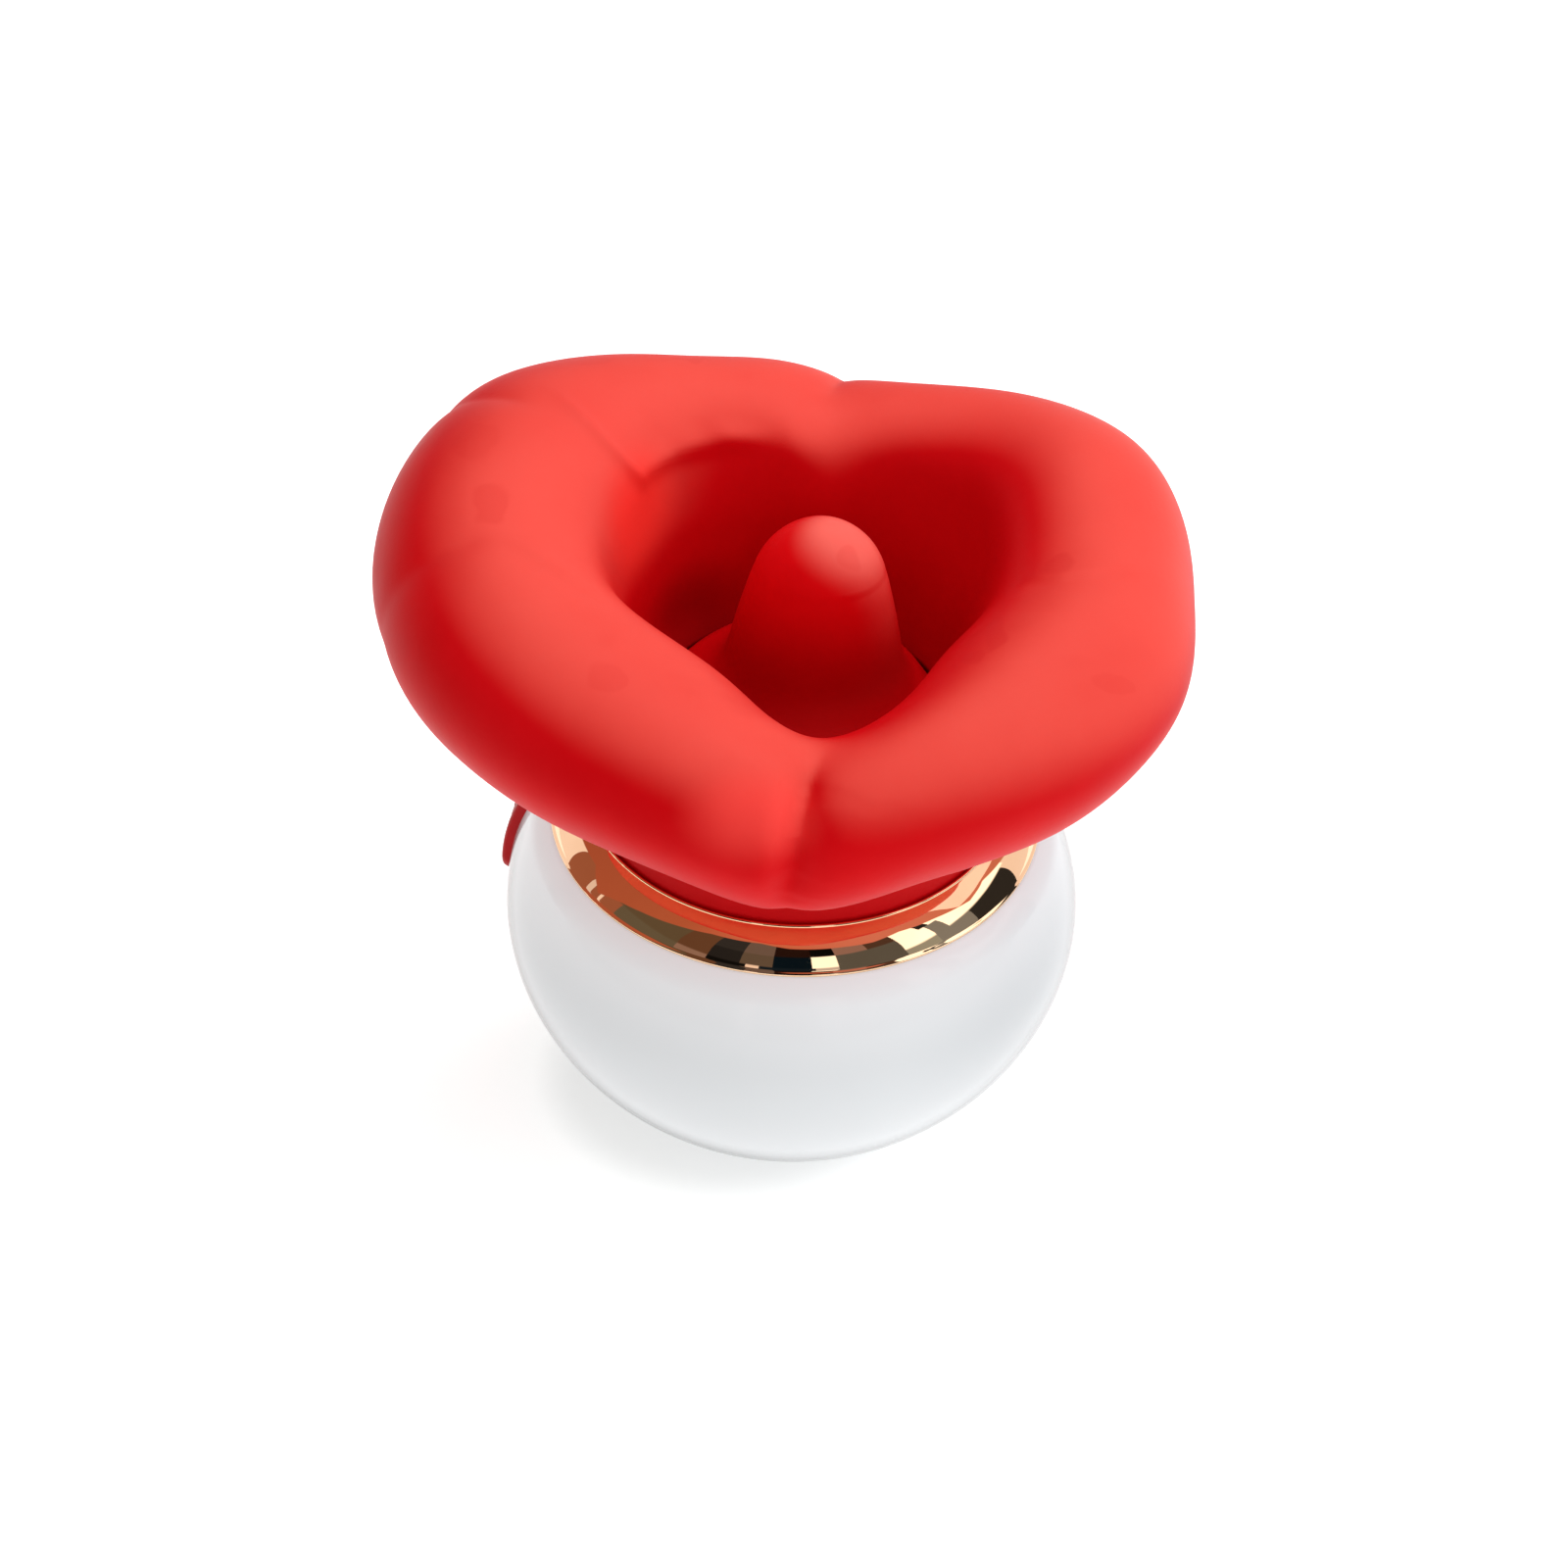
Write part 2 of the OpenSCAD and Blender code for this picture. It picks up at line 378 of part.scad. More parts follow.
front_shell();
rear_shell();
seam_gasket();
foot_pad();
base_screws();
collar_ring();
lip_cup();
neck_frame();
neck_seal();
neck_screws();
inner_frame();
swing_motor();
motor_shaft();
motor_clamp();
clamp_screws();
crank_disc();
crank_pin();
tongue_arm();
tongue_cover();
pivot_pin();
pivot_washers();
vibration_motor();
vibration_shaft();
eccentric_weight();
battery_cell();
battery_pad();
battery_leads();
main_board();
board_parts();
board_screws();
keypad_panel();
power_button();
mode_button();
key_board();
tact_switches();
status_led();
charge_contacts();
charge_board();
charge_magnet();
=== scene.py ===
import math

import bpy
import numpy as np
from mathutils import Matrix, Vector


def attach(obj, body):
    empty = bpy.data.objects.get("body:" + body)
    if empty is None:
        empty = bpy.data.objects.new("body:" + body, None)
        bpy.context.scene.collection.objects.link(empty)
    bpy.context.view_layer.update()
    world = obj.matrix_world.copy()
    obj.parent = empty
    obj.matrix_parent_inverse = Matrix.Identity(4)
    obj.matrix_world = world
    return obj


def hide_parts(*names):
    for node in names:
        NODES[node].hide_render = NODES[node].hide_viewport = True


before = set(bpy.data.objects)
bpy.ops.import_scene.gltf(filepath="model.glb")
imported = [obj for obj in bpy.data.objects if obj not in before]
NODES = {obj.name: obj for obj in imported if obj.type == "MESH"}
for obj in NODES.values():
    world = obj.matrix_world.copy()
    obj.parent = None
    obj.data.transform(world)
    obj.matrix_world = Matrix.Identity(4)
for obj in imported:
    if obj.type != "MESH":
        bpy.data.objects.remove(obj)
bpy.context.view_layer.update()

MM = 0.001
scene = bpy.context.scene

# ------------------------------------------------------------------ sizes shared with the CAD, mm
Z0, BASE_R, BASE_C, BASE_N, WALL = 23.5, 30.0, 26.75, 1.892, 1.8
RIM_Z, MOUTH_R, NECK_R = 35.8, 24.2, 21.4
PIVOT_Z, DOME_R, SOCKET_R, HOLE_Z, TONGUE_TOP = 41.0, 16.6, 17.0, 49.0, 72.6
KEY_AZ, KEY_H, CHG_H, KEY_W, KEY_HT = 162.0, 6.7, -7.5, 13.0, 13.2
KEY_DROP = (10.0 - KEY_HT) / 2             # the panel's centre below the buttons' line

# azimuth, inner radius, outer radius, height of the roll's widest level, crest height, radius of the cup's wall low down
LIP = np.array([
    [0, 17.4, 38.7, 63.9, 74.0, 15.8], [25, 18.3, 40.1, 64.3, 74.9, 15.8], [50, 17.8, 36.4, 64.1, 73.4, 15.8],
    [70, 16.0, 32.4, 63.9, 72.5, 15.6], [83, 14.6, 32.5, 64.0, 72.2, 15.5], [97, 15.0, 33.6, 64.6, 73.1, 15.5],
    [115, 16.8, 35.6, 64.4, 73.9, 16.0], [140, 18.1, 43.3, 64.3, 74.9, 16.8], [158, 18.0, 44.1, 64.2, 75.5, 16.8],
    [180, 17.8, 42.8, 63.2, 74.2, 16.6], [205, 16.8, 40.5, 63.0, 73.3, 16.0], [230, 14.9, 37.8, 61.9, 71.3, 15.6],
    [255, 16.6, 37.0, 60.4, 69.2, 15.5], [272, 20.3, 37.2, 58.9, 68.0, 15.5], [290, 20.2, 36.4, 60.6, 69.1, 15.5],
    [315, 16.8, 38.0, 62.2, 71.9, 15.5], [338, 17.1, 39.5, 63.8, 73.4, 15.6]], float)
CREASE = [[83, -0.4, 4, 0.07], [272, -0.6, 5, 0.09], [152, 0, 4, 0.03], [190, 0, 6, 0.03]]
TONGUE = np.array([
    [53.4, 10.8, 10.3], [54.6, 9.8, 8.7], [56.2, 9.0, 7.4], [58.5, 8.5, 6.7], [61, 8.0, 6.3], [63.5, 7.4, 5.9],
    [66, 6.8, 5.5], [68.3, 6.0, 5.0], [70.3, 5.0, 4.3], [71.9, 3.8, 3.4], [73.0, 2.4, 2.2], [73.6, 1.0, 1.0]], float)

TIP = ((67.3, 6.4, 5.25), (0.36, 0.28))    # where the rounded tip starts: height, half width, half depth; how fast each shrinks


# ------------------------------------------------------------------ mesh helpers
def add_mesh(name, verts, faces, mats, smooth=True, sharp=None, slots=None):
    """A mesh object from points in mm. sharp: degrees above which an edge stays hard."""
    me = bpy.data.meshes.new(name)
    verts = np.asarray(verts, float) * MM
    me.from_pydata([tuple(v) for v in verts], [], [tuple(int(i) for i in f) for f in faces])
    for m in mats if isinstance(mats, (list, tuple)) else [mats]:
        me.materials.append(m)
    if slots is not None:
        me.polygons.foreach_set("material_index", np.asarray(slots, np.int32))
    me.polygons.foreach_set("use_smooth", np.full(len(me.polygons), smooth))
    me.validate()
    if sharp:
        me.set_sharp_from_angle(angle=math.radians(sharp))
    me.update()
    ob = bpy.data.objects.new(name, me)
    scene.collection.objects.link(ob)
    return ob


def grid_faces(n, m, wrap_n=True, wrap_m=False, flip=False):
    """Quads over an n by m grid of points, row major."""
    out = []
    for i in range(n if wrap_n else n - 1):
        a, b = i * m, ((i + 1) % n) * m
        for j in range(m if wrap_m else m - 1):
            k = (j + 1) % m
            f = (a + j, b + j, b + k, a + k)
            out.append(f[::-1] if flip else f)
    return out


def lathe_points(prof, n, centre=(0.0, 0.0)):
    t = np.arange(n) * 2 * math.pi / n
    prof = np.asarray(prof, float)
    x = centre[0] + prof[None, :, 0] * np.cos(t)[:, None]
    y = centre[1] + prof[None, :, 0] * np.sin(t)[:, None]
    z = np.repeat(prof[None, :, 1], n, 0)
    return np.stack([x, y, z], -1)


def lathe(name, prof, mats, n=256, closed=True, sharp=None, place=None):
    """A turned piece. prof runs up the outside; closed joins its last point to its first. place maps points into position."""
    p = lathe_points(prof, n)
    m = p.shape[1]
    pts = p.reshape(-1, 3)
    if place is not None:
        pts = place(pts)
    return add_mesh(name, pts, grid_faces(n, m, True, closed), mats, True, sharp)


def spun_solid(prof, n, place=None):
    """Verts and faces of a closed turned solid whose profile starts and ends on the axis."""
    prof = np.asarray(prof, float)
    body = prof[1:-1]
    p = lathe_points(body, n).reshape(-1, 3)
    m = len(body)
    pts = np.vstack([p, [[0, 0, prof[0, 1]], [0, 0, prof[-1, 1]]]])
    faces = grid_faces(n, m)
    for i in range(n):
        k = (i + 1) % n
        faces.append((n * m, k * m, i * m))
        faces.append((n * m + 1, i * m + m - 1, k * m + m - 1))
    if place is not None:
        pts = place(pts)
    return pts, faces


def arc_pts(cx, cz, r, a0, a1, k):
    return [(cx + r * math.cos(math.radians(a)), cz + r * math.sin(math.radians(a))) for a in np.linspace(a0, a1, k)]


def smooth_along(a, width, axis, wrap):
    """Gaussian smoothing of an array along one axis, width in samples."""
    k = int(math.ceil(width * 3))
    w = np.exp(-0.5 * (np.arange(-k, k + 1) / width) ** 2)
    w /= w.sum()
    a = np.moveaxis(a, axis, 0)
    if wrap:
        pad = np.concatenate([a[-k:], a, a[:k]])
    else:
        pad = np.concatenate([2 * a[:1] - a[k:0:-1], a, 2 * a[-1:] - a[-2:-k - 2:-1]])
    out = sum(w[i] * pad[i:i + len(a)] for i in range(2 * k + 1))
    return np.moveaxis(out, 0, axis)


def periodic_spline(x, y, q, period=360.0):
    """Smooth closed curve through (x, y), sampled at q."""
    n = len(x)
    h = np.diff(np.append(x, x[0] + period))
    a = np.zeros((n, n))
    b = np.zeros((n,) + y.shape[1:])
    for i in range(n):
        hm, hp = h[i - 1], h[i]
        a[i, i - 1] += hm
        a[i, i] += 2 * (hm + hp)
        a[i, (i + 1) % n] += hp
        b[i] = 6 * ((y[(i + 1) % n] - y[i]) / hp - (y[i] - y[i - 1]) / hm)
    m = np.linalg.solve(a, b)
    k = np.clip(np.searchsorted(x, q, side="right") - 1, 0, n - 1)
    k2 = (k + 1) % n
    hh = h[k][:, None]
    s = (q - x[k])[:, None]
    t = hh - s
    return (m[k] * t ** 3 + m[k2] * s ** 3) / (6 * hh) + (y[k] / hh - m[k] * hh / 6) * t + (y[k2] / hh - m[k2] * hh / 6) * s


def centripetal(P, per):
    """Curve through the rows of P with per points a span."""
    P = np.asarray(P, float)
    n = len(P)
    ext = np.vstack([2 * P[0] - P[1], P, 2 * P[-1] - P[-2]])
    out = []
    for i in range(n - 1):
        p0, p1, p2, p3 = ext[i:i + 4]
        d1, d2, d3 = (max(1e-3, math.sqrt(np.linalg.norm(b - a))) for a, b in ((p0, p1), (p1, p2), (p2, p3)))
        m1 = ((p1 - p0) / d1 - (p2 - p0) / (d1 + d2) + (p2 - p1) / d2) * d2
        m2 = ((p2 - p1) / d2 - (p3 - p1) / (d2 + d3) + (p3 - p2) / d3) * d2
        for j in range(per):
            t = j / per
            out.append((2 * t ** 3 - 3 * t * t + 1) * p1 + (t ** 3 - 2 * t * t + t) * m1 + (3 * t * t - 2 * t ** 3) * p2 + (t ** 3 - t * t) * m2)
    out.append(P[-1])
    return np.array(out)


def point_normals(p):
    """Unit normals of a grid of points (wraps along the first axis)."""
    du = np.roll(p, -1, 0) - np.roll(p, 1, 0)
    dv = np.gradient(p, axis=1)
    n = np.cross(du, dv)
    return n / np.maximum(np.linalg.norm(n, axis=-1, keepdims=True), 1e-12)


# ------------------------------------------------------------------ material helpers
class Mat:
    """Short names for building a node material."""

    def __init__(self, name):
        self.m = bpy.data.materials.new(name)
        self.m.use_nodes = True
        self.t = self.m.node_tree
        self.bsdf = self.t.nodes["Principled BSDF"]
        self.co = self.t.nodes.new("ShaderNodeTexCoord").outputs["Object"]

    def node(self, kind, **ins):
        n = self.t.nodes.new(kind)
        for k, v in ins.items():
            if hasattr(n, k):
                setattr(n, k, v)
        return n

    def put(self, socket, value):
        if isinstance(value, bpy.types.NodeSocket):
            self.t.links.new(value, socket)
        elif isinstance(value, (tuple, list)) and len(value) == 3 and socket.type == "RGBA":
            socket.default_value = (*value, 1)
        else:
            socket.default_value = value

    def set(self, **kw):
        for k, v in kw.items():
            self.put(self.bsdf.inputs[k.replace("_", " ")], v)
        return self

    def noise(self, scale, detail=3.0, rough=0.5, co=None, dist=0.0, out="Fac"):
        n = self.node("ShaderNodeTexNoise")
        self.put(n.inputs["Vector"], co or self.co)
        n.inputs["Scale"].default_value = scale
        n.inputs["Detail"].default_value = detail
        n.inputs["Roughness"].default_value = rough
        n.inputs["Distortion"].default_value = dist
        return n.outputs[out]

    def voronoi(self, scale, feature="F1", co=None, rnd=1.0, out="Distance"):
        n = self.node("ShaderNodeTexVoronoi")
        n.feature = feature
        self.put(n.inputs["Vector"], co or self.co)
        n.inputs["Scale"].default_value = scale
        n.inputs["Randomness"].default_value = rnd
        return n.outputs[out]

    def ramp(self, fac, stops, interp="LINEAR"):
        n = self.node("ShaderNodeValToRGB")
        n.color_ramp.interpolation = interp
        while len(n.color_ramp.elements) < len(stops):
            n.color_ramp.elements.new(0.5)
        for e, (p, c) in zip(n.color_ramp.elements, stops):
            e.position = p
            e.color = (*c, 1) if len(c) == 3 else c
        self.put(n.inputs["Fac"], fac)
        return n.outputs["Color"]

    def remap(self, v, a0, a1, b0, b1, smooth=False):
        n = self.node("ShaderNodeMapRange")
        n.interpolation_type = "SMOOTHSTEP" if smooth else "LINEAR"
        self.put(n.inputs["Value"], v)
        for k, x in zip(("From Min", "From Max", "To Min", "To Max"), (a0, a1, b0, b1)):
            n.inputs[k].default_value = x
        return n.outputs["Result"]

    def math(self, op, a, b=0.0, clamp=False):
        n = self.node("ShaderNodeMath")
        n.operation = op
        n.use_clamp = clamp
        self.put(n.inputs[0], a)
        self.put(n.inputs[1], b)
        return n.outputs[0]

    def vmath(self, op, a, b=(0.0, 0.0, 0.0), out=0):
        n = self.node("ShaderNodeVectorMath")
        n.operation = op
        self.put(n.inputs[0], a)
        if len(n.inputs) > 1:
            self.put(n.inputs[1], b)
        return n.outputs[out]

    def mix(self, fac, a, b, blend="MIX"):
        n = self.node("ShaderNodeMix")
        n.data_type = "RGBA"
        n.blend_type = blend
        self.put(n.inputs[0], fac)
        self.put(n.inputs[6], a)
        self.put(n.inputs[7], b)
        return n.outputs[2]

    def mapping(self, scale=(1, 1, 1), rot=(0, 0, 0), loc=(0, 0, 0), co=None):
        n = self.node("ShaderNodeMapping")
        self.put(n.inputs["Vector"], co or self.co)
        n.inputs["Location"].default_value = loc
        n.inputs["Rotation"].default_value = rot
        n.inputs["Scale"].default_value = scale
        return n.outputs[0]

    def bump(self, height, dist, strength=1.0, normal=None):
        n = self.node("ShaderNodeBump")
        self.put(n.inputs["Height"], height)
        n.inputs["Distance"].default_value = dist
        n.inputs["Strength"].default_value = strength
        if normal is not None:
            self.put(n.inputs["Normal"], normal)
        return n.outputs["Normal"]

    def blob(self, centre, half, edge=0.35, warp=None):
        """1 inside an ellipsoid (mm) fading to 0 at its edge, in object space."""
        co = warp if warp is not None else self.co
        d = self.vmath("SUBTRACT", co, tuple(c * MM for c in centre))
        d = self.vmath("DIVIDE", d, tuple(h * MM for h in half))
        r = self.vmath("LENGTH", d, out=1)
        return self.remap(r, 1.0 - edge, 1.0, 1.0, 0.0, True)


def lin(r, g, b):
    """sRGB 0..255 to linear."""
    return tuple((c / 255 / 12.92) if c <= 10 else ((c / 255 + 0.055) / 1.055) ** 2.4 for c in (r, g, b))


def silicone(name, deep, light, rough=0.48, sheen=0.0, marks=(), specks=True, sss=0.08, painted_highlight=(0.88, 0.084, 0.064), spec=0.12, grain=1.0, inner=0.72, painted_light_and_shade=()):
    """Matt silicone, deep red, with light and shade painted into its colour: a paler painted highlight on faces turned
    towards the light, a paler painted reflection of the floor under the front, painted shade deep in the mouth and at
    the neck, and spots of painted light and shade.
    """
    m = Mat(name)
    cloud = m.noise(55.0, 3.0, 0.55)
    fine = m.noise(420.0, 2.0, 0.6)
    t = m.math("ADD", m.remap(cloud, 0.3, 0.7, 0.0, 0.75, True), m.remap(fine, 0.3, 0.7, 0.0, 0.25))
    col = m.mix(t, deep, light)
    geo = m.node("ShaderNodeNewGeometry")
    xyz = m.node("ShaderNodeSeparateXYZ")
    m.put(xyz.inputs[0], geo.outputs["Normal"])
    # painted highlight: faces turned up, to the right and a little to the front, high on the lips, take a paler tint
    up = m.remap(m.vmath("DOT_PRODUCT", geo.outputs["Normal"], (0.42, -0.20, 0.885), out=1), 0.50, 0.93, 0.0, 1.0, True)
    up = m.math("MULTIPLY", up, m.remap(cloud, 0.3, 0.7, 0.82, 1.0))
    place = m.node("ShaderNodeSeparateXYZ")
    m.put(place.inputs[0], m.co)
    up = m.math("MULTIPLY", up, m.remap(place.outputs[2], 0.054, 0.067, 0.0, 1.0, True))
    col = m.mix(up, col, painted_highlight)
    # painted reflection: down-facing faces at the front take a paler tint, as if mirroring the bright floor
    front = m.remap(place.outputs[1], 0.002, -0.014, 0.0, 1.0, True)
    col = m.mix(m.math("MULTIPLY", m.remap(xyz.outputs[2], -0.66, -0.86, 0.0, 1.0, True), front), col, (0.66, 0.085, 0.046))
    # painted shade: the colour darkens deep inside the mouth
    cavity_shade = m.blob((0.0, -1.0, 52.0), (18.5, 19.5, 17.0), 0.62)
    col = m.mix(m.math("MULTIPLY", cavity_shade, inner), col, tuple(c * 0.3 for c in deep))
    # painted shade: the neck under the lips is darkened
    col = m.mix(m.math("MULTIPLY", m.blob((0.0, 0.0, 40.0), (26.5, 26.5, 10.0), 0.5), 0.85), col, tuple(c * 0.2 for c in deep))
    # spots of painted light and painted shade
    for centre, half, amount, tone in painted_light_and_shade:
        col = m.mix(m.math("MULTIPLY", m.blob(centre, half, 0.8), amount), col, tone)
    stain = m.remap(m.noise(38.0, 3.0, 0.62, co=m.mapping(scale=(1, 1.6, 0.8))), 0.60, 0.72, 0.0, 0.2, True)
    if marks:
        wob = m.vmath("SUBTRACT", m.noise(260.0, 1.0, 0.5, out="Color"), (0.5, 0.5, 0.5))
        sc = m.node("ShaderNodeVectorMath")
        sc.operation = "SCALE"
        m.put(sc.inputs[0], wob)
        sc.inputs["Scale"].default_value = 0.0028
        warped = m.vmath("ADD", m.co, sc.outputs[0])
        for centre, half, amount in marks:
            stain = m.math("MAXIMUM", stain, m.math("MULTIPLY", m.blob(centre, half, 0.28, warped), amount))
    col = m.mix(stain, col, tuple(c * f for c, f in zip(light, (0.86, 0.9, 0.9))))
    if specks:
        n = m.node("ShaderNodeTexVoronoi")
        m.put(n.inputs["Vector"], m.co)
        n.inputs["Scale"].default_value = 150.0
        few = m.math("GREATER_THAN", m.node_sep(n.outputs["Color"]), 0.955)
        dot = m.math("MULTIPLY", m.remap(n.outputs["Distance"], 0.02, 0.045, 1.0, 0.0, True), few)
        col = m.mix(m.math("MULTIPLY", dot, 0.75), col, (0.95, 0.62, 0.56))
    m.set(Base_Color=col, Roughness=m.math("SUBTRACT", m.remap(cloud, 0.3, 0.7, rough - 0.05, rough + 0.06), m.math("MULTIPLY", stain, 0.09)))
    m.set(Specular_IOR_Level=spec, Specular_Tint=(1.0, 0.30, 0.26, 1.0), Sheen_Weight=sheen, Sheen_Roughness=0.4, Sheen_Tint=(1.0, 0.72, 0.66, 1.0))
    if sss:
        m.set(Subsurface_Weight=sss, Subsurface_Radius=(1.0, 0.1, 0.08), Subsurface_Scale=0.002)
    m.set(Normal=m.bump(m.noise(1700.0 * grain, 3.0, 0.65), 0.00005, 0.35))
    return m.m


def _sep(self, colour):
    n = self.node("ShaderNodeSeparateColor")
    self.put(n.inputs[0], colour)
    return n.outputs[0]


Mat.node_sep = _sep


def plastic(name, base, rough, bump_mm=0.01, scale=900.0, coat=0.0, var=0.08, dusty=0.0, metallic=0.0):
    m = Mat(name)
    n1 = m.noise(70.0, 4.0, 0.55)
    n2 = m.noise(scale, 3.0, 0.6)
    dark = tuple(c * (1 - var) for c in base)
    lite = tuple(min(1.0, c * (1 + var)) for c in base)
    col = m.mix(m.remap(n1, 0.3, 0.7, 0.0, 1.0, True), dark, lite)
    if dusty:
        col = m.mix(m.remap(m.noise(240.0, 5.0, 0.7), 0.55, 0.8, 0.0, dusty), col, (0.75, 0.73, 0.70))
    m.set(Base_Color=col, Roughness=m.remap(n1, 0.3, 0.7, rough * 0.85, min(1.0, rough * 1.15)), Metallic=metallic)
    if coat:
        m.set(Coat_Weight=coat, Coat_Roughness=0.05)
    m.set(Normal=m.bump(n2, bump_mm * MM, 0.6))
    return m.m


def metal(name, base, rough, brushed=None, scale=900.0, bump_mm=0.004, var=0.06, tarnish=0.0, tint=(0.5, 0.4, 0.3)):
    """brushed: stretch of the noise along x, y, z for drawn or turned metal."""
    m = Mat(name)
    co = m.mapping(scale=brushed) if brushed else m.co
    n1 = m.noise(scale, 3.0, 0.6, co=co)
    n2 = m.noise(60.0, 4.0, 0.6)
    col = m.mix(m.remap(n2, 0.3, 0.7, 0.0, 1.0, True), tuple(c * (1 - var) for c in base), base)
    if tarnish:
        col = m.mix(m.remap(n2, 0.52, 0.8, 0.0, tarnish), col, tint)
    m.set(Base_Color=col, Metallic=1.0, Roughness=m.math("ADD", m.remap(n1, 0.3, 0.7, rough * 0.75, rough * 1.25), m.remap(n2, 0.45, 0.8, 0.0, rough * 0.6)))
    m.set(Normal=m.bump(n1, bump_mm * MM, 0.5))
    return m.m


# ------------------------------------------------------------------ materials
RED_DEEP, RED_LIGHT = (0.64, 0.0010, 0.004), (0.71, 0.0022, 0.006)
lip_marks = [
    ((-30.6, -0.4, 74.2), (2.2, 3.2, 2.4), 0.17), ((-32.8, 8.5, 74.6), (2.4, 3.4, 2.4), 0.10),
    ((23.3, -5.7, 73.7), (3.2, 1.7, 2.0), 0.20), ((18.1, -14.5, 72.1), (1.3, 3.4, 2.0), 0.25), ((16.4, -17.5, 71.0), (1.7, 1.3, 1.6), 0.22),
    ((-17.9, -22.5, 70.9), (2.4, 2.2, 2.0), 0.12), ((-22.0, 24.0, 73.5), (2.6, 1.3, 2.2), 0.12),
    ((30.0, -20.0, 70.5), (3.4, 1.0, 2.2), 0.10), ((-12.0, 25.5, 73.6), (1.0, 1.2, 2.0), 0.12),
]
# strong painted shade in the mouth; painted light on the mouth's left inner wall and on the front of the lower lip,
# painted shade deep on the mouth's left
M_LIPS = silicone("silicone_lips", RED_DEEP, RED_LIGHT, marks=lip_marks, inner=0.84, painted_light_and_shade=[((-16.5, 8.0, 66.6), (6.0, 9.5, 8.0), 0.9, (1.0, 0.032, 0.024)), ((-4.0, -33.6, 64.0), (8.0, 5.5, 5.5), 0.8, (1.0, 0.062, 0.052)),
           ((-11.5, 11.0, 50.5), (9.0, 9.0, 9.0), 0.6, (0.2, 0.0004, 0.001))])
# the tongue's painted highlight is paler, and its painted shade in the mouth lighter, than the lips'
M_TONGUE = silicone("silicone_tongue", (0.74, 0.001, 0.004), (0.83, 0.0025, 0.006), inner=0.62, painted_highlight=(0.96, 0.15, 0.12), marks=[((4.5, -3.0, 70.5), (1.6, 1.6, 1.8), 0.14)])
M_KEYS = silicone("silicone_keys", lin(164, 10, 18), lin(184, 18, 26), rough=0.4, sheen=0.15, specks=False, sss=0.05)
M_FOOT = silicone("silicone_foot", lin(170, 22, 26), lin(190, 30, 32), rough=0.6, sheen=0.15, specks=False, sss=0.05)


def gloss_white():
    m = Mat("gloss_white")
    n1 = m.noise(32.0, 3.0, 0.5)
    n2 = m.noise(600.0, 4.0, 0.6)
    col = m.mix(m.remap(n1, 0.3, 0.7, 0.0, 1.0, True), (0.470, 0.486, 0.498), (0.486, 0.501, 0.513))
    # a little dust
    dust = m.remap(m.voronoi(330.0), 0.015, 0.04, 1.0, 0.0, True)
    few = m.math("GREATER_THAN", m.node_sep(m.voronoi(330.0, out="Color")), 0.985)
    dust = m.math("MULTIPLY", m.math("MULTIPLY", dust, few), 0.35)
    col = m.mix(dust, col, lin(150, 150, 150))
    m.set(Base_Color=col, Roughness=m.remap(n2, 0.3, 0.7, 0.07, 0.12), Specular_IOR_Level=0.17)
    m.set(Subsurface_Weight=0.06, Subsurface_Radius=(1.0, 1.0, 1.0), Subsurface_Scale=0.0012)
    # painted shade: the shell darkens towards its outline, where it turns away from view
    facing = m.node("ShaderNodeLayerWeight")
    facing.inputs["Blend"].default_value = 0.5
    painted_edge_shade = m.remap(facing.outputs["Facing"], 0.70, 0.96, 0.0, 0.85, True)
    m.set(Base_Color=m.mix(painted_edge_shade, col, (0.12, 0.12, 0.125)))
    # painted light: a faint glow over the shell, strongest towards its rim where the lips shade it, weaker on its right
    # side and low down, and weakest at its outline
    xyz = m.node("ShaderNodeSeparateXYZ")
    m.put(xyz.inputs[0], m.co)
    painted_rim_light = m.remap(xyz.outputs[2], 0.0255, 0.0358, 0.0, 1.0, True)
    right = m.math("MULTIPLY", m.remap(xyz.outputs[0], 0.010, 0.029, 0.0, 0.5, True), m.remap(painted_rim_light, 0.0, 1.0, 1.0, 0.4))
    low = m.remap(xyz.outputs[2], 0.016, 0.005, 0.0, 0.42, True)
    glow = m.mix(m.math("MAXIMUM", right, low), m.mix(painted_rim_light, (0.84, 0.865, 0.88), (1.30, 1.35, 1.37)), (0.0, 0.0, 0.0))
    m.set(Emission_Color=m.mix(painted_edge_shade, glow, (0.10, 0.10, 0.10)), Emission_Strength=0.30)
    m.set(Normal=m.bump(n1, 0.00004, 0.25))
    return m.m


def rose_gilt():
    m = Mat("rose_gilt")
    n1 = m.noise(900.0, 3.0, 0.6, co=m.mapping(scale=(1, 1, 1)))
    n2 = m.noise(120.0, 4.0, 0.6)
    col = m.mix(m.remap(n2, 0.3, 0.7, 0.0, 1.0, True), (0.88, 0.600, 0.385), (0.93, 0.655, 0.430))
    # hairline polishing marks run round the ring
    polish = m.noise(1.0, 2.0, 0.5, co=m.mapping(scale=(160, 160, 5200)))
    m.set(Base_Color=col, Metallic=1.0, Roughness=m.math("ADD", m.remap(n1, 0.35, 0.75, 0.012, 0.035), m.remap(n2, 0.6, 0.8, 0.0, 0.03)))
    m.set(Normal=m.bump(polish, 0.0000012, 0.35))
    return m.m


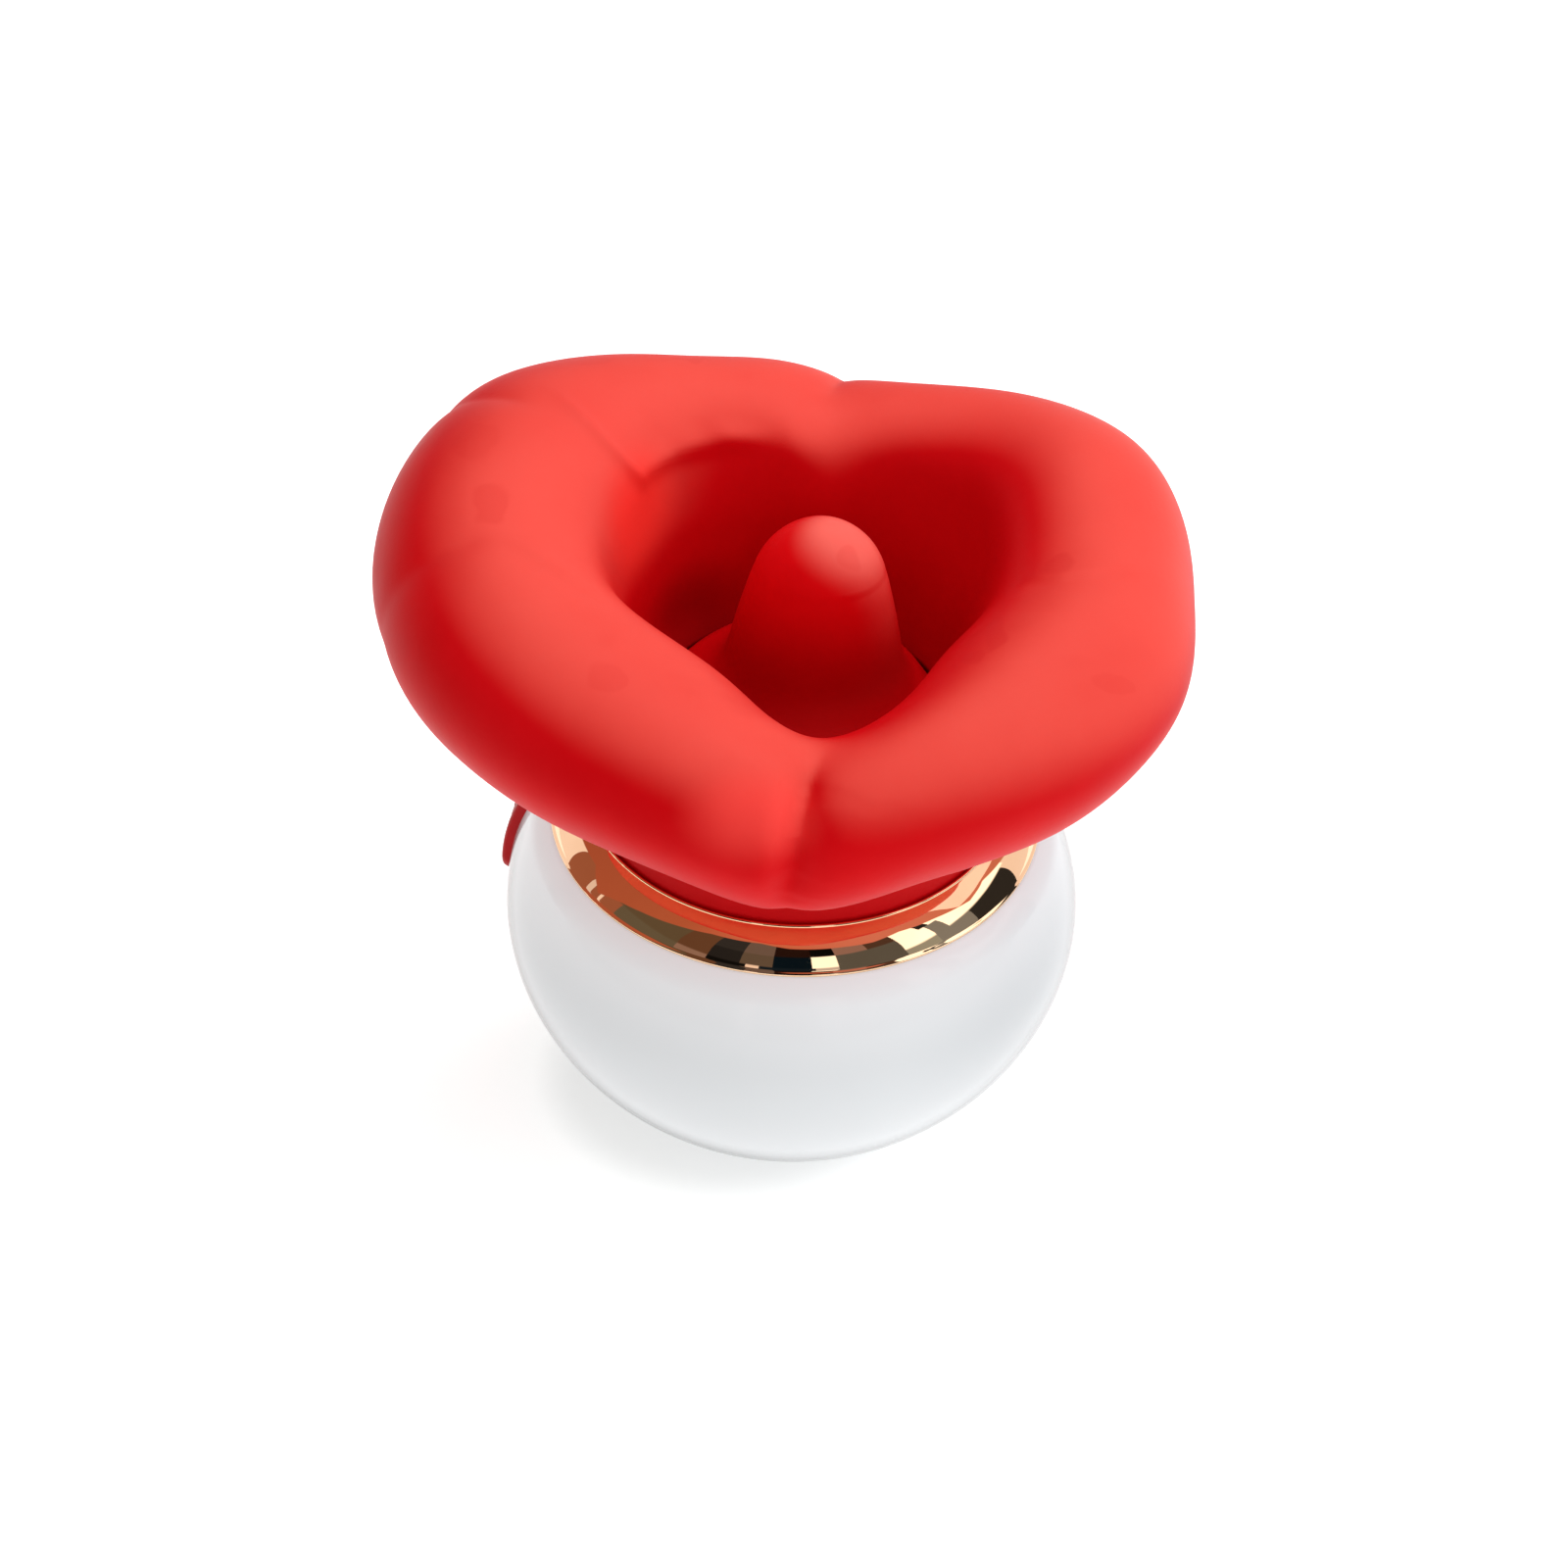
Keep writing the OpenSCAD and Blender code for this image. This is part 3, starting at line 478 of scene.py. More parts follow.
M_WHITE, M_GILT = gloss_white(), rose_gilt()
M_CONTACT = metal("gilt_contact", (0.95, 0.70, 0.36), 0.16, var=0.08)
M_RUBBER = plastic("black_rubber", (0.018, 0.018, 0.020), 0.62, 0.02, 700.0, dusty=0.15)
M_STEEL = metal("steel", (0.62, 0.62, 0.63), 0.26, brushed=(1, 1, 8), tarnish=0.12, tint=(0.35, 0.33, 0.31))
M_FRAME = plastic("frame_plastic", (0.045, 0.048, 0.054), 0.45, 0.02, 800.0, dusty=0.05)
M_NECK = plastic("neck_plastic", (0.62, 0.62, 0.60), 0.42, 0.015, 800.0)
M_ACETAL = plastic("acetal", (0.78, 0.77, 0.73), 0.36, 0.008, 500.0)
M_SINTER = metal("sintered_metal", (0.36, 0.34, 0.31), 0.42, scale=1600.0, bump_mm=0.02, tarnish=0.3)
M_CHIP = plastic("chip_black", (0.022, 0.022, 0.024), 0.5, 0.01, 1500.0)
M_LEAD = plastic("lead_pvc", (0.42, 0.020, 0.018), 0.4, 0.006, 700.0)
M_LED = plastic("led_lens", (0.86, 0.84, 0.66), 0.2, 0.004, 500.0, coat=0.5)


def board_green():
    m = Mat("board_green")
    n1 = m.noise(60.0, 3.0, 0.5)
    wave = m.node("ShaderNodeTexWave")
    m.put(wave.inputs["Vector"], m.mapping(scale=(1, 1, 1), rot=(0, math.radians(45), 0)))
    wave.inputs["Scale"].default_value = 320.0
    wave.inputs["Distortion"].default_value = 3.0
    tracks = m.remap(wave.outputs["Fac"], 0.55, 0.6, 0.0, 0.6, True)
    col = m.mix(tracks, m.mix(n1, (0.006, 0.075, 0.030), (0.010, 0.105, 0.045)), (0.02, 0.17, 0.075))
    m.set(Base_Color=col, Roughness=m.remap(n1, 0.3, 0.7, 0.28, 0.4), Normal=m.bump(tracks, 0.00003, 0.5))
    return m.m


def cell_foil():
    m = Mat("cell_foil")
    n1 = m.noise(150.0, 4.0, 0.6)
    n2 = m.noise(40.0, 2.0, 0.5, dist=1.0)
    col = m.mix(m.remap(n1, 0.3, 0.7, 0.0, 1.0), (0.42, 0.47, 0.52), (0.58, 0.62, 0.66))
    m.set(Base_Color=col, Metallic=0.85, Roughness=m.remap(n1, 0.3, 0.7, 0.28, 0.42), Normal=m.bump(n2, 0.00015, 0.6))
    return m.m


M_BOARD, M_FOIL = board_green(), cell_foil()
BY_SLOT = {
    "red_silicone": M_LIPS, "white_gloss": M_WHITE, "rose_gilt": M_GILT, "black_rubber": M_RUBBER, "steel": M_STEEL,
    "frame_plastic": M_FRAME, "neck_plastic": M_NECK, "acetal": M_ACETAL, "sintered_metal": M_SINTER,
    "board_green": M_BOARD, "chip_black": M_CHIP, "cell_foil": M_FOIL, "lead_pvc": M_LEAD, "led_lens": M_LED,
}
NODE_MAT = {
    "seam_gasket": M_RUBBER, "base_screws": M_STEEL, "neck_frame": M_NECK, "neck_seal": M_RUBBER, "neck_screws": M_STEEL,
    "inner_frame": M_FRAME, "swing_motor": M_STEEL, "motor_shaft": M_STEEL, "motor_clamp": M_FRAME, "clamp_screws": M_STEEL,
    "crank_disc": M_ACETAL, "crank_pin": M_STEEL, "tongue_arm": M_FRAME, "pivot_pin": M_STEEL, "pivot_washers": M_STEEL,
    "vibration_motor": M_STEEL, "vibration_shaft": M_STEEL, "eccentric_weight": M_SINTER, "battery_cell": M_FOIL,
    "battery_pad": M_RUBBER, "battery_leads": M_LEAD, "main_board": M_BOARD, "board_parts": M_CHIP, "board_screws": M_STEEL,
    "key_board": M_BOARD, "tact_switches": M_CHIP, "status_led": M_LED, "charge_board": M_BOARD, "charge_magnet": M_STEEL,
    "front_shell": M_WHITE, "rear_shell": M_WHITE, "foot_pad": M_FOOT, "collar_ring": M_GILT, "lip_cup": M_LIPS,
    "tongue_cover": M_TONGUE, "keypad_panel": M_KEYS, "power_button": M_KEYS, "mode_button": M_KEYS, "charge_contacts": M_CONTACT,
}
for name, ob in NODES.items():
    ob.data.materials.clear()
    ob.data.materials.append(NODE_MAT[name])


# ------------------------------------------------------------------ lips
def build_lips(nq=480, per=15):
    q = np.arange(nq) * 360.0 / nq
    v = periodic_spline(LIP[:, 0], LIP[:, 1:], q)
    ri, ro, zc, zt, rw = v.T
    rc, a, b = (ri + ro) / 2, (ro - ri) / 2, zt - zc
    b2, c = np.minimum(a, b), 0.7071
    ux, uz = rc + a * 0.72, zc - b2 * 0.72
    one = np.ones(nq)
    ctrl = np.stack([
        np.stack([one * math.sqrt(SOCKET_R ** 2 - (HOLE_Z - PIVOT_Z) ** 2), one * HOLE_Z], 1),
        np.stack([rw, one * (HOLE_Z + 2.8)], 1),
        np.stack([rw + 0.35 * (ri - rw), (HOLE_Z + 2.8 + zc) / 2], 1),
        np.stack([ri, zc - 0.5], 1),
        np.stack([rc - a * c, zc + b * c], 1),
        np.stack([rc, zt], 1),
        np.stack([rc + a * c, zc + b * c], 1),
        np.stack([ro, zc], 1),
        np.stack([ux, uz], 1),
        np.stack([NECK_R + 0.32 * (ux - NECK_R), uz - 0.55 * (uz - 44.5)], 1),
        np.stack([one * NECK_R, one * 43.5], 1),
        np.stack([one * NECK_R, one * 39.5], 1)], 1)
    sec = np.stack([centripetal(ctrl[i], per) for i in range(nq)])        # nq, m, 2
    sec = smooth_along(sec, per * 0.22, 1, False)
    # broad creases, as in the CAD
    r, z = sec[..., 0], sec[..., 1]
    k = np.zeros_like(r)
    for az, lean, half, depth in CREASE:
        d = (q[:, None] - az - lean * (r - 30) + 900) % 360 - 180
        inward = np.clip((rc[:, None] + 3 - r) / 9, 0, 1)          # 0 outside the crest, 1 at the rim of the mouth
        k += depth * (1 - 0.6 * inward) * np.exp(-np.sqrt(d * d / (half * (1 + 1.6 * inward)) ** 2 + 0.02 + 0.2 * inward))
    k *= np.clip((z - 45.5) / 8, 0, 1) * np.clip((r - 16) / 8, 0, 1)
    r2 = r - (r - rc[:, None]) * k
    z2 = z - (z - (zc[:, None] - 2)) * k * 1.6
    qa = np.radians(q)[:, None]
    skin = np.stack([r2 * np.cos(qa), r2 * np.sin(qa), z2], -1)           # nq, m, 3
    nrm = point_normals(skin)
    if (nrm[:, skin.shape[1] // 2, 2]).mean() < 0:
        nrm = -nrm
    disp = np.zeros(skin.shape[:2])
    for line in LINES:
        disp += line_relief(skin, nrm, line)
    for centre, rad, h in BUMPS:
        d2 = (((skin - np.array(centre)) / np.array(rad)) ** 2).sum(-1)
        disp += h * np.exp(-0.5 * d2)
    # the hand-made look: very slight unevenness
    disp += 0.05 * np.sin(skin[..., 0] * 0.31 + 1.0) * np.sin(skin[..., 1] * 0.27 + 0.4) * np.clip((skin[..., 2] - 50) / 8, 0, 1)
    disp = smooth_along(disp, 0.8, 0, True)
    fade = np.clip((skin[..., 2] - 46.5) / 4, 0, 1)
    skin = skin + nrm * (disp * fade)[..., None]
    foot = np.array([[NECK_R, 35.75], [NECK_R, 35.65], [23.8, 35.65], [23.8, 33.5], [19.8, 33.5], [19.8, 43.15]])
    sock = [(math.sqrt(SOCKET_R ** 2 - (zz - PIVOT_Z) ** 2), zz) for zz in (43.15, 43.9, 44.7, 45.5, 46.3, 47.1, 47.8, 48.4)]
    lips_round = [(math.sqrt(SOCKET_R ** 2 - (48.75 - PIVOT_Z) ** 2) - 0.0, 48.75)]
    tail = np.vstack([foot, sock[1:], lips_round])
    ta = lathe_points(tail, nq)
    # lathe_points starts at azimuth 0 and steps evenly, as the skin does
    pts = np.concatenate([skin, ta], 1)
    return pts


def line_relief(p, n, line):
    """Height along the normal from one drawn line: a valley with its own width on each side, a step, and a fade at both ends."""
    pts, up = np.array(line["pts"], float), line
    seg0, seg1 = pts[:-1], pts[1:]
    cum = np.concatenate([[0], np.cumsum(np.linalg.norm(seg1 - seg0, axis=1))])
    best = np.full(p.shape[:2], 1e9)
    side = np.zeros(p.shape[:2])
    along = np.zeros(p.shape[:2])
    for i in range(len(seg0)):
        d = seg1[i] - seg0[i]
        L = np.linalg.norm(d)
        t = ((p - seg0[i]) @ d) / L ** 2
        if 0 < i < len(seg0) - 1:
            tc = np.clip(t, 0, 1)
        elif len(seg0) == 1:
            tc = t
        elif i == 0:
            tc = np.minimum(t, 1)
        else:
            tc = np.maximum(t, 0)
        near = seg0[i] + tc[..., None] * d
        off = p - near
        level = np.minimum(np.abs((off * n).sum(-1)), 2.5)
        dist = np.sqrt(np.maximum((off * off).sum(-1) - level ** 2, 0.0))
        s = np.sign((np.cross(np.broadcast_to(d / L, p.shape), off) * n).sum(-1))
        take = dist < best
        best = np.where(take, dist, best)
        side = np.where(take, s, side)
        along = np.where(take, (cum[i] + tc * L) / cum[-1], along)
    f0, f1 = line.get("fade", (0.25, 0.25))
    ends = np.clip(along / f0 + line.get("start", 0.0), 0, 1) if f0 > 0 else 1.0
    if f1 > 0:
        ends = ends * np.clip((1 - along) / f1 + line.get("stop", 0.0), 0, 1)
    ends = ends * ends * (3 - 2 * ends)
    gate = np.exp(-0.5 * np.maximum(0, (np.maximum(-along, along - 1)) * cum[-1] / 2.0) ** 2)
    w_l, w_r = line.get("width", (2.0, 2.0))
    w = np.where(side > 0, w_l, w_r)
    soft = line.get("soft", 0.15)
    dd = np.sqrt(best ** 2 + soft ** 2) - soft
    h = -line.get("depth", 0.0) * np.exp(-dd / w)
    if "step" in line:
        s0, ws = line["step"]
        h = h + s0 * np.tanh(side * best / 0.45) * np.exp(-best / ws)
    if "ridge" in line:
        hr, dr, wr_ = line["ridge"]
        h = h + hr * np.exp(-((side * best - dr) / wr_) ** 2)
    return h * ends * gate


# left of a line's direction, seen from outside, is its first width
LINES = [
    # fold of the lower lip
    {"pts": [(2.4, -26.6, 67.6), (1.8, -28.6, 66.6), (0.9, -30.6, 65.6), (0.6, -32.4, 64.7), (0.3, -34.4, 62.9), (-0.1, -35.5, 60.3), (-0.3, -35.9, 58.8), (-0.6, -35.3, 56.4), (-0.9, -33.6, 54)],
     "depth": 1.9, "width": (2.0, 1.15), "soft": 0.05, "step": (-0.34, 3.2), "ridge": (0.3, -2.8, 1.6), "fade": (0.62, 0.35)},
    # upper lip over the left corner
    {"pts": [(-27.5, 18.6, 75.0), (-26.2, 17.5, 74.8), (-24, 15, 74.7), (-22, 13, 73.9), (-20, 11.5, 72.8), (-18.4, 10.8, 71), (-17.0, 10.6, 69.5), (-16.4, 10.6, 67.6)],
     "step": (0.2, 3.4), "depth": 0.0, "ridge": (0.36, 0.0, 0.8), "fade": (0.5, 0.12)},
    # tight turn of the upper lip's inner rim, left of the bow
    {"pts": [(-17.4, 9.6, 69.6), (-17.0, 10.6, 69.6), (-15.6, 12.3, 69.7), (-13.3, 14.8, 69.9), (-9.0, 16.9, 70.2), (-2.5, 16.8, 70.4)],
     "depth": 0.0, "ridge": (0.42, 0.0, 1.3), "fade": (0.2, 0.3)},
    # left corner over the lower lip
    {"pts": [(-29.8, -5, 73.5), (-26, -7.5, 73.7), (-22.4, -9.5, 73.3), (-19.5, -11, 72.6), (-16.6, -12.3, 71.6)],
     "step": (0.22, 3.0), "depth": 0.0, "fade": (0.4, 0.3)},
    # right corner
    {"pts": [(19.0, -6.6, 72.3), (20.5, -7, 73), (24, -7.8, 73.9), (28, -7.6, 73.8), (31.8, -6.3, 72.9), (34.6, -4.5, 71.7)],
     "step": (0.14, 3.0), "depth": 0.05, "width": (1.0, 1.0), "fade": (0.25, 0.35)},
]
BUMPS = [
    ((-17.2, 10.6, 69.6), (1.5, 1.5, 2.2), 0.3),       # tip of the fold at the rim
    ((-1.5, 16.6, 70.2), (1.8, 1.8, 2.2), 0.35),        # bump of the bow
]
lip_pts = build_lips()
LQ, LM = lip_pts.shape[:2]
lips = add_mesh("lips", lip_pts.reshape(-1, 3), grid_faces(LQ, LM, True, True), M_LIPS)


# ------------------------------------------------------------------ tongue
def lean(z):
    t = np.clip((z - 50) / 6, 0, 1)
    return 1.3 * t * t * (3 - 2 * t) + 0.02 * np.maximum(0, z - 56)


def build_tongue(n=144, per=7):
    rows = [(z, math.sqrt(DOME_R ** 2 - (z - PIVOT_Z) ** 2), math.sqrt(DOME_R ** 2 - (z - PIVOT_Z) ** 2)) for z in (45, 46.5, 48, 49.5, 51, 52.2)]
    rows += [tuple(x) for x in TONGUE if x[0] < 71]
    body = centripetal(np.array([(z, a, b, float(lean(z))) for z, a, b in rows]), per)
    body = smooth_along(body, per * 0.4, 0, False)
    body = body[body[:, 0] < TIP[0][0] - 0.15]
    za, aa, ba = TIP[0]
    tip = []
    for u in np.linspace(0, 1, 24)[:-1]:
        k = math.sin(u * math.pi / 2)
        z = za + (TONGUE_TOP - za) * k
        f = (1 - k ** 2.6) ** 0.5
        tip.append((z, (aa - TIP[1][0] * (z - za)) * f, (ba - TIP[1][1] * (z - za)) * f, float(lean(z))))
    rings = np.vstack([body, tip])
    t = np.arange(n) * 2 * math.pi / n
    outer = np.stack([rings[:, None, 3] + rings[:, None, 1] * np.cos(t), rings[:, None, 2] * np.sin(t), np.repeat(rings[:, :1], n, 1)], -1)
    inner = [(45.0, 13.98)] + [(z, math.sqrt((DOME_R - 2) ** 2 - (z - PIVOT_Z) ** 2)) for z in (45.0, 47, 49, 51, 53, 54.2)][1:]
    inn = np.stack([np.stack([r * np.cos(t), r * np.sin(t), np.full(n, z)], -1) for z, r in inner])
    pocket = np.stack([np.stack([1.4 + 2.7 * np.cos(t), 2.7 * np.sin(t), np.full(n, z)], -1) for z in (54.6, 60, 65.2)])
    wall = np.concatenate([pocket[::-1], inn[::-1]])
    pts = np.concatenate([wall, outer])
    m = len(pts)
    verts = np.vstack([pts.reshape(-1, 3), [[1.4, 0, 65.2]], [[rings[-1, 3], 0, TONGUE_TOP]]])
    faces = []
    for i in range(m - 1):
        for j in range(n):
            k = (j + 1) % n
            faces.append((i * n + j, i * n + k, (i + 1) * n + k, (i + 1) * n + j))
    for j in range(n):
        k = (j + 1) % n
        faces.append((m * n, k, j))
        faces.append((m * n + 1, (m - 1) * n + j, (m - 1) * n + k))
    return verts, faces


tv, tf = build_tongue()
tongue = add_mesh("tongue", tv, tf, M_TONGUE, sharp=60)


# ------------------------------------------------------------------ base
def oval_r(h, d=0.0):
    return (BASE_R + d) * np.maximum(0, 1 - np.minimum(1, np.abs(h) / (BASE_C + d)) ** BASE_N) ** (1 / BASE_N)


def oval_el(h):
    r = float(oval_r(h))
    return math.copysign(math.atan((abs(h) ** (BASE_N - 1) / BASE_C ** BASE_N) / (r ** (BASE_N - 1) / BASE_R ** BASE_N)), h)


def on_base(az, h, pts):
    """Points given in the local frame on the base's surface (x out along the normal), in row mm."""
    el = oval_el(h)
    a = math.radians(az)
    o = np.array([oval_r(h) * math.cos(a), oval_r(h) * math.sin(a), Z0 + h])
    ex = np.array([math.cos(a) * math.cos(el), math.sin(a) * math.cos(el), math.sin(el)])
    ey = np.array([-math.sin(a), math.cos(a), 0])
    ez = np.cross(ex, ey)
    pts = np.asarray(pts, float)
    return o + pts[..., :1] * ex + pts[..., 1:2] * ey + pts[..., 2:3] * ez


def shell_profile():
    """Outside from the foot pocket to the rim, then back down the inside."""
    out = [(12.1, 1.3), (12.1, 0.62)]
    out += arc_pts(12.4, 0.62, 0.3, 180, 270, 5)[1:]
    hs = np.concatenate([[-23.2], np.linspace(-23.15, -20, 22), np.linspace(-20, 10, 86)[1:], np.linspace(10, 12.24, 18)[1:]])
    for h in hs:
        # drawn in over the top to meet the collar's bead
        out.append((float(oval_r(h)) - (0.78 * ((h - 10) / 2.3) ** 2 if h > 10 else 0.0), Z0 + h))
    out += [(25.34, RIM_Z - 0.02), (25.28, RIM_Z), (MOUTH_R + 0.15, RIM_Z), (MOUTH_R, RIM_Z - 0.15)]
    ins = [(MOUTH_R, 30.8)]
    for h in np.linspace(4.5, -19, 50):
        ins.append((float(oval_r(h, -WALL)), Z0 + h))
    ins += [(12.0, 4.6), (0.9, 4.5)]
    return out, ins


def half_shell(name, sign, n=200):
    """One half of the base, cut at y = 0 with a fine eased edge, so that the two halves meet in a hairline."""
    out, ins = shell_profile()
    floor_in = [(0.9, 1.3)]
    loop = floor_in + out + ins                       # closed section, from the pocket's roof round and back
    prof = np.array(loop, float)
    gap, ease = 0.018, 0.05
    m = len(prof)
    nrm = np.zeros_like(prof)
    nxt, prv = np.roll(prof, -1, 0), np.roll(prof, 1, 0)
    tan = nxt - prv
    nrm = np.stack([tan[:, 1], -tan[:, 0]], 1) / np.maximum(np.linalg.norm(tan, axis=1, keepdims=True), 1e-9)
    rings = []
    ts = np.linspace(0, math.pi, n + 1)
    for i, t in enumerate(ts):
        if i in (0, n):
            # the cut face, with the outline drawn in slightly
            p = prof - nrm * 0.035
            x = np.sqrt(np.maximum(0, p[:, 0] ** 2 - gap ** 2)) * (1 if i == 0 else -1)
            rings.append(np.stack([x, np.full(m, gap), p[:, 1]], 1))
        if i in (0, n):
            x = np.sqrt(np.maximum(0, prof[:, 0] ** 2 - (gap + ease) ** 2)) * (1 if i == 0 else -1)
            ring = np.stack([x, np.full(m, gap + ease), prof[:, 1]], 1)
            if i == 0:
                rings.append(ring)
            else:
                rings.insert(len(rings) - 1, ring)
        else:
            a0 = np.arcsin(np.minimum(0.9, (gap + ease) / np.maximum(prof[:, 0], 0.1)))
            tt = a0 + (math.pi - 2 * a0) * (t / math.pi)
            rings.append(np.stack([prof[:, 0] * np.cos(tt), prof[:, 0] * np.sin(tt), prof[:, 1]], 1))
    pts = np.array(rings)
    faces = grid_faces(len(pts), m, False, True)
    # cut faces: strip between matching outer and inner points is an n-gon, triangulated by Blender
    faces.append(tuple(range(m)))
    faces.append(tuple((len(pts) - 1) * m + j for j in range(m - 1, -1, -1)))
    v = pts.reshape(-1, 3)
    if sign < 0:
        v = v * np.array([-1, -1, 1])
    ob = add_mesh(name, v, faces, M_WHITE, sharp=35)
    return ob


front = half_shell("base_front", -1)
rear = half_shell("base_rear", 1)


def bool_cut(target, cutters):
    """Cuts closed solids out of a mesh and keeps the result as its mesh."""
    for v, f in cutters:
        cut = add_mesh("cutter", v, f, M_WHITE, smooth=True)
        mod = target.modifiers.new("cut", "BOOLEAN")
        mod.operation, mod.solver, mod.object = "DIFFERENCE", "EXACT", cut
        bpy.context.view_layer.update()
        dg = bpy.context.evaluated_depsgraph_get()
        new = bpy.data.meshes.new_from_object(target.evaluated_get(dg), depsgraph=dg)
        target.modifiers.remove(mod)
        old = target.data
        target.data = new
        bpy.data.meshes.remove(old)
        bpy.data.objects.remove(cut)
    target.data.set_sharp_from_angle(angle=math.radians(35))


def rod(r, x1, x2, y=0.0, n=48, az=KEY_AZ, h=KEY_H, flare=None):
    """A round cutter along the local normal; flare widens it from that depth outwards."""
    prof = [(0, x1), (r, x1)]
    if flare is not None:
        prof += [(r, flare - 0.12), (r + 0.03, flare - 0.04), (r + 0.12, flare + 0.02), (r + 0.6, flare + 0.3)]
        prof += [(r + 0.6, x2)]
    else:
        prof += [(r, x2)]
    prof += [(0, x2)]

    def place(p):
        q = np.stack([p[:, 2], p[:, 0] + y, p[:, 1]], 1)
        return on_base(az, h, q)
    return spun_solid(prof, n, place)


def round_rect(w, h, r, per=12):
    out = []
    for cx, cy, a0 in ((w - r, h - r, 0), (-(w - r), h - r, 90), (-(w - r), -(h - r), 180), (w - r, -(h - r), 270)):
        for a in np.linspace(a0, a0 + 90, per + 1):
            out.append((cx + r * math.cos(math.radians(a)), cy + r * math.sin(math.radians(a))))
    # straight sides get points too
    pts, res = np.array(out), []
    for i in range(len(pts)):
        a, b = pts[i], pts[(i + 1) % len(pts)]
        k = max(1, int(np.linalg.norm(b - a) / 0.45))
        res += [a + (b - a) * j / k for j in range(k)]
    return np.array(res)


def surface_x(y, z, az=KEY_AZ, h=KEY_H, d=0.0):
    """Local height x of the base's surface (grown by d) at local y, z."""
    x = np.zeros_like(y) + d
    for _ in range(14):
        p = on_base(az, h, np.stack([x, y, z], -1))
        rr, hh = np.hypot(p[..., 0], p[..., 1]), p[..., 2] - Z0
        f = (rr / (BASE_R + d)) ** BASE_N + (np.abs(hh) / (BASE_C + d)) ** BASE_N - 1
        p2 = on_base(az, h, np.stack([x + 0.01, y, z], -1))
        r2, h2 = np.hypot(p2[..., 0], p2[..., 1]), p2[..., 2] - Z0
        f2 = (r2 / (BASE_R + d)) ** BASE_N + (np.abs(h2) / (BASE_C + d)) ** BASE_N - 1
        x = x - f / ((f2 - f) / 0.01)
    return x


def pad_solid(w, h, r, low, levels, rings=9):
    """A curved pad on the base's surface: levels is a list of (inset, height over the surface) up its edge."""
    n = len(round_rect(w, h, r))
    base = round_rect(w, h, r)
    drop = np.array([0.0, KEY_DROP])
    rows = []
    for inset, hgt in [(0.0, low)] + levels:
        sx, sy = (w - inset) / w, (h - inset) / h
        o = base * np.array([sx, sy]) + drop
        rows.append((o, hgt))
    top = rows[-1]
    for k in range(1, rings):
        f = 1 - k / rings
        rows.append(((top[0] - drop) * f + drop, top[1]))
    pts = []
    for o, hgt in rows:
        x = surface_x(o[:, 0], o[:, 1], d=hgt)
        pts.append(np.stack([x, o[:, 0], o[:, 1]], 1))
    c_top = np.array([[surface_x(np.zeros(1), np.full(1, KEY_DROP), d=top[1])[0], 0, KEY_DROP]])
    c_low = np.array([[surface_x(np.zeros(1), np.full(1, KEY_DROP), d=low)[0], 0, KEY_DROP]])
    low_rows = []
    for k in range(1, rings):
        f = 1 - k / rings
        o = base * f + drop
        low_rows.append(np.stack([surface_x(o[:, 0], o[:, 1], d=low), o[:, 0], o[:, 1]], 1))
    grid = low_rows[::-1] + pts
    m = len(grid)
    v = np.vstack([np.vstack(grid), c_low, c_top])
    faces = []
    for i in range(m - 1):
        for j in range(n):
            k = (j + 1) % n
            faces.append((i * n + j, i * n + k, (i + 1) * n + k, (i + 1) * n + j))
    for j in range(n):
        k = (j + 1) % n
        faces.append((m * n, k, j))
        faces.append((m * n + 1, (m - 1) * n + j, (m - 1) * n + k))
    return on_base(KEY_AZ, KEY_H, v), faces


seat = pad_solid(KEY_W / 2 + 0.15, KEY_HT / 2 + 0.15, 2.65, -0.6, [(0.0, 1.5)])
cuts = [seat, rod(1.8, -6, 2, 3.3), rod(1.8, -6, 2, -3.3), rod(0.9, -6, 2, 0.0),
        rod(1.25, -3, 2, 3.0, az=KEY_AZ, h=CHG_H), rod(1.25, -3, 2, -3.0, az=KEY_AZ, h=CHG_H)]
bool_cut(rear, cuts)

panel_v, panel_f = pad_solid(KEY_W / 2, KEY_HT / 2, 2.5, -0.58,
                             [(0.0, 0.4), (0.0, 0.72), (0.02, 0.85), (0.08, 0.96), (0.17, 1.045), (0.3, 1.09), (0.46, 1.1)])
panel = add_mesh("keypad", panel_v, panel_f, M_KEYS)
bool_cut(panel, [rod(2.62, -3, 3, 3.3, 64, flare=1.02), rod(2.62, -3, 3, -3.3, 64, flare=1.02)])


def button(name, y, mark):
    prof = [(0, -3.4), (1.3, -3.4), (1.4, -3.3), (1.4, 0.05), (1.5, 0.15), (2.3, 0.15), (2.4, 0.25), (2.4, 0.87)]
    prof += [(2.385, 0.94), (2.34, 0.995), (2.25, 1.04), (2.1, 1.075), (1.9, 1.098), (1.5, 1.112), (1.1, 1.118)]
    if mark == "ring":
        prof += [(0.98, 1.119), (0.93, 1.15), (0.85, 1.178), (0.76, 1.178), (0.68, 1.15), (0.63, 1.119), (0.5, 1.118), (0.2, 1.118)]
    else:
        prof += [(0.62, 1.12), (0.55, 1.147), (0.42, 1.17), (0.25, 1.179)]
    prof += [(0, 1.18 if mark == "dot" else 1.118)]

    def place(p):
        # the crown follows the base's curve
        drop = surface_x(p[:, 0] + y, p[:, 1]) * np.clip(p[:, 2] / 0.15, 0, 1)
        return on_base(KEY_AZ, KEY_H, np.stack([p[:, 2] + drop, p[:, 0] + y, p[:, 1]], 1))
    v, f = spun_solid(prof, 72, place)
    return add_mesh(name, v, f, M_KEYS, sharp=50)


power = button("power_key", 3.3, "ring")
mode = button("mode_key", -3.3, "dot")


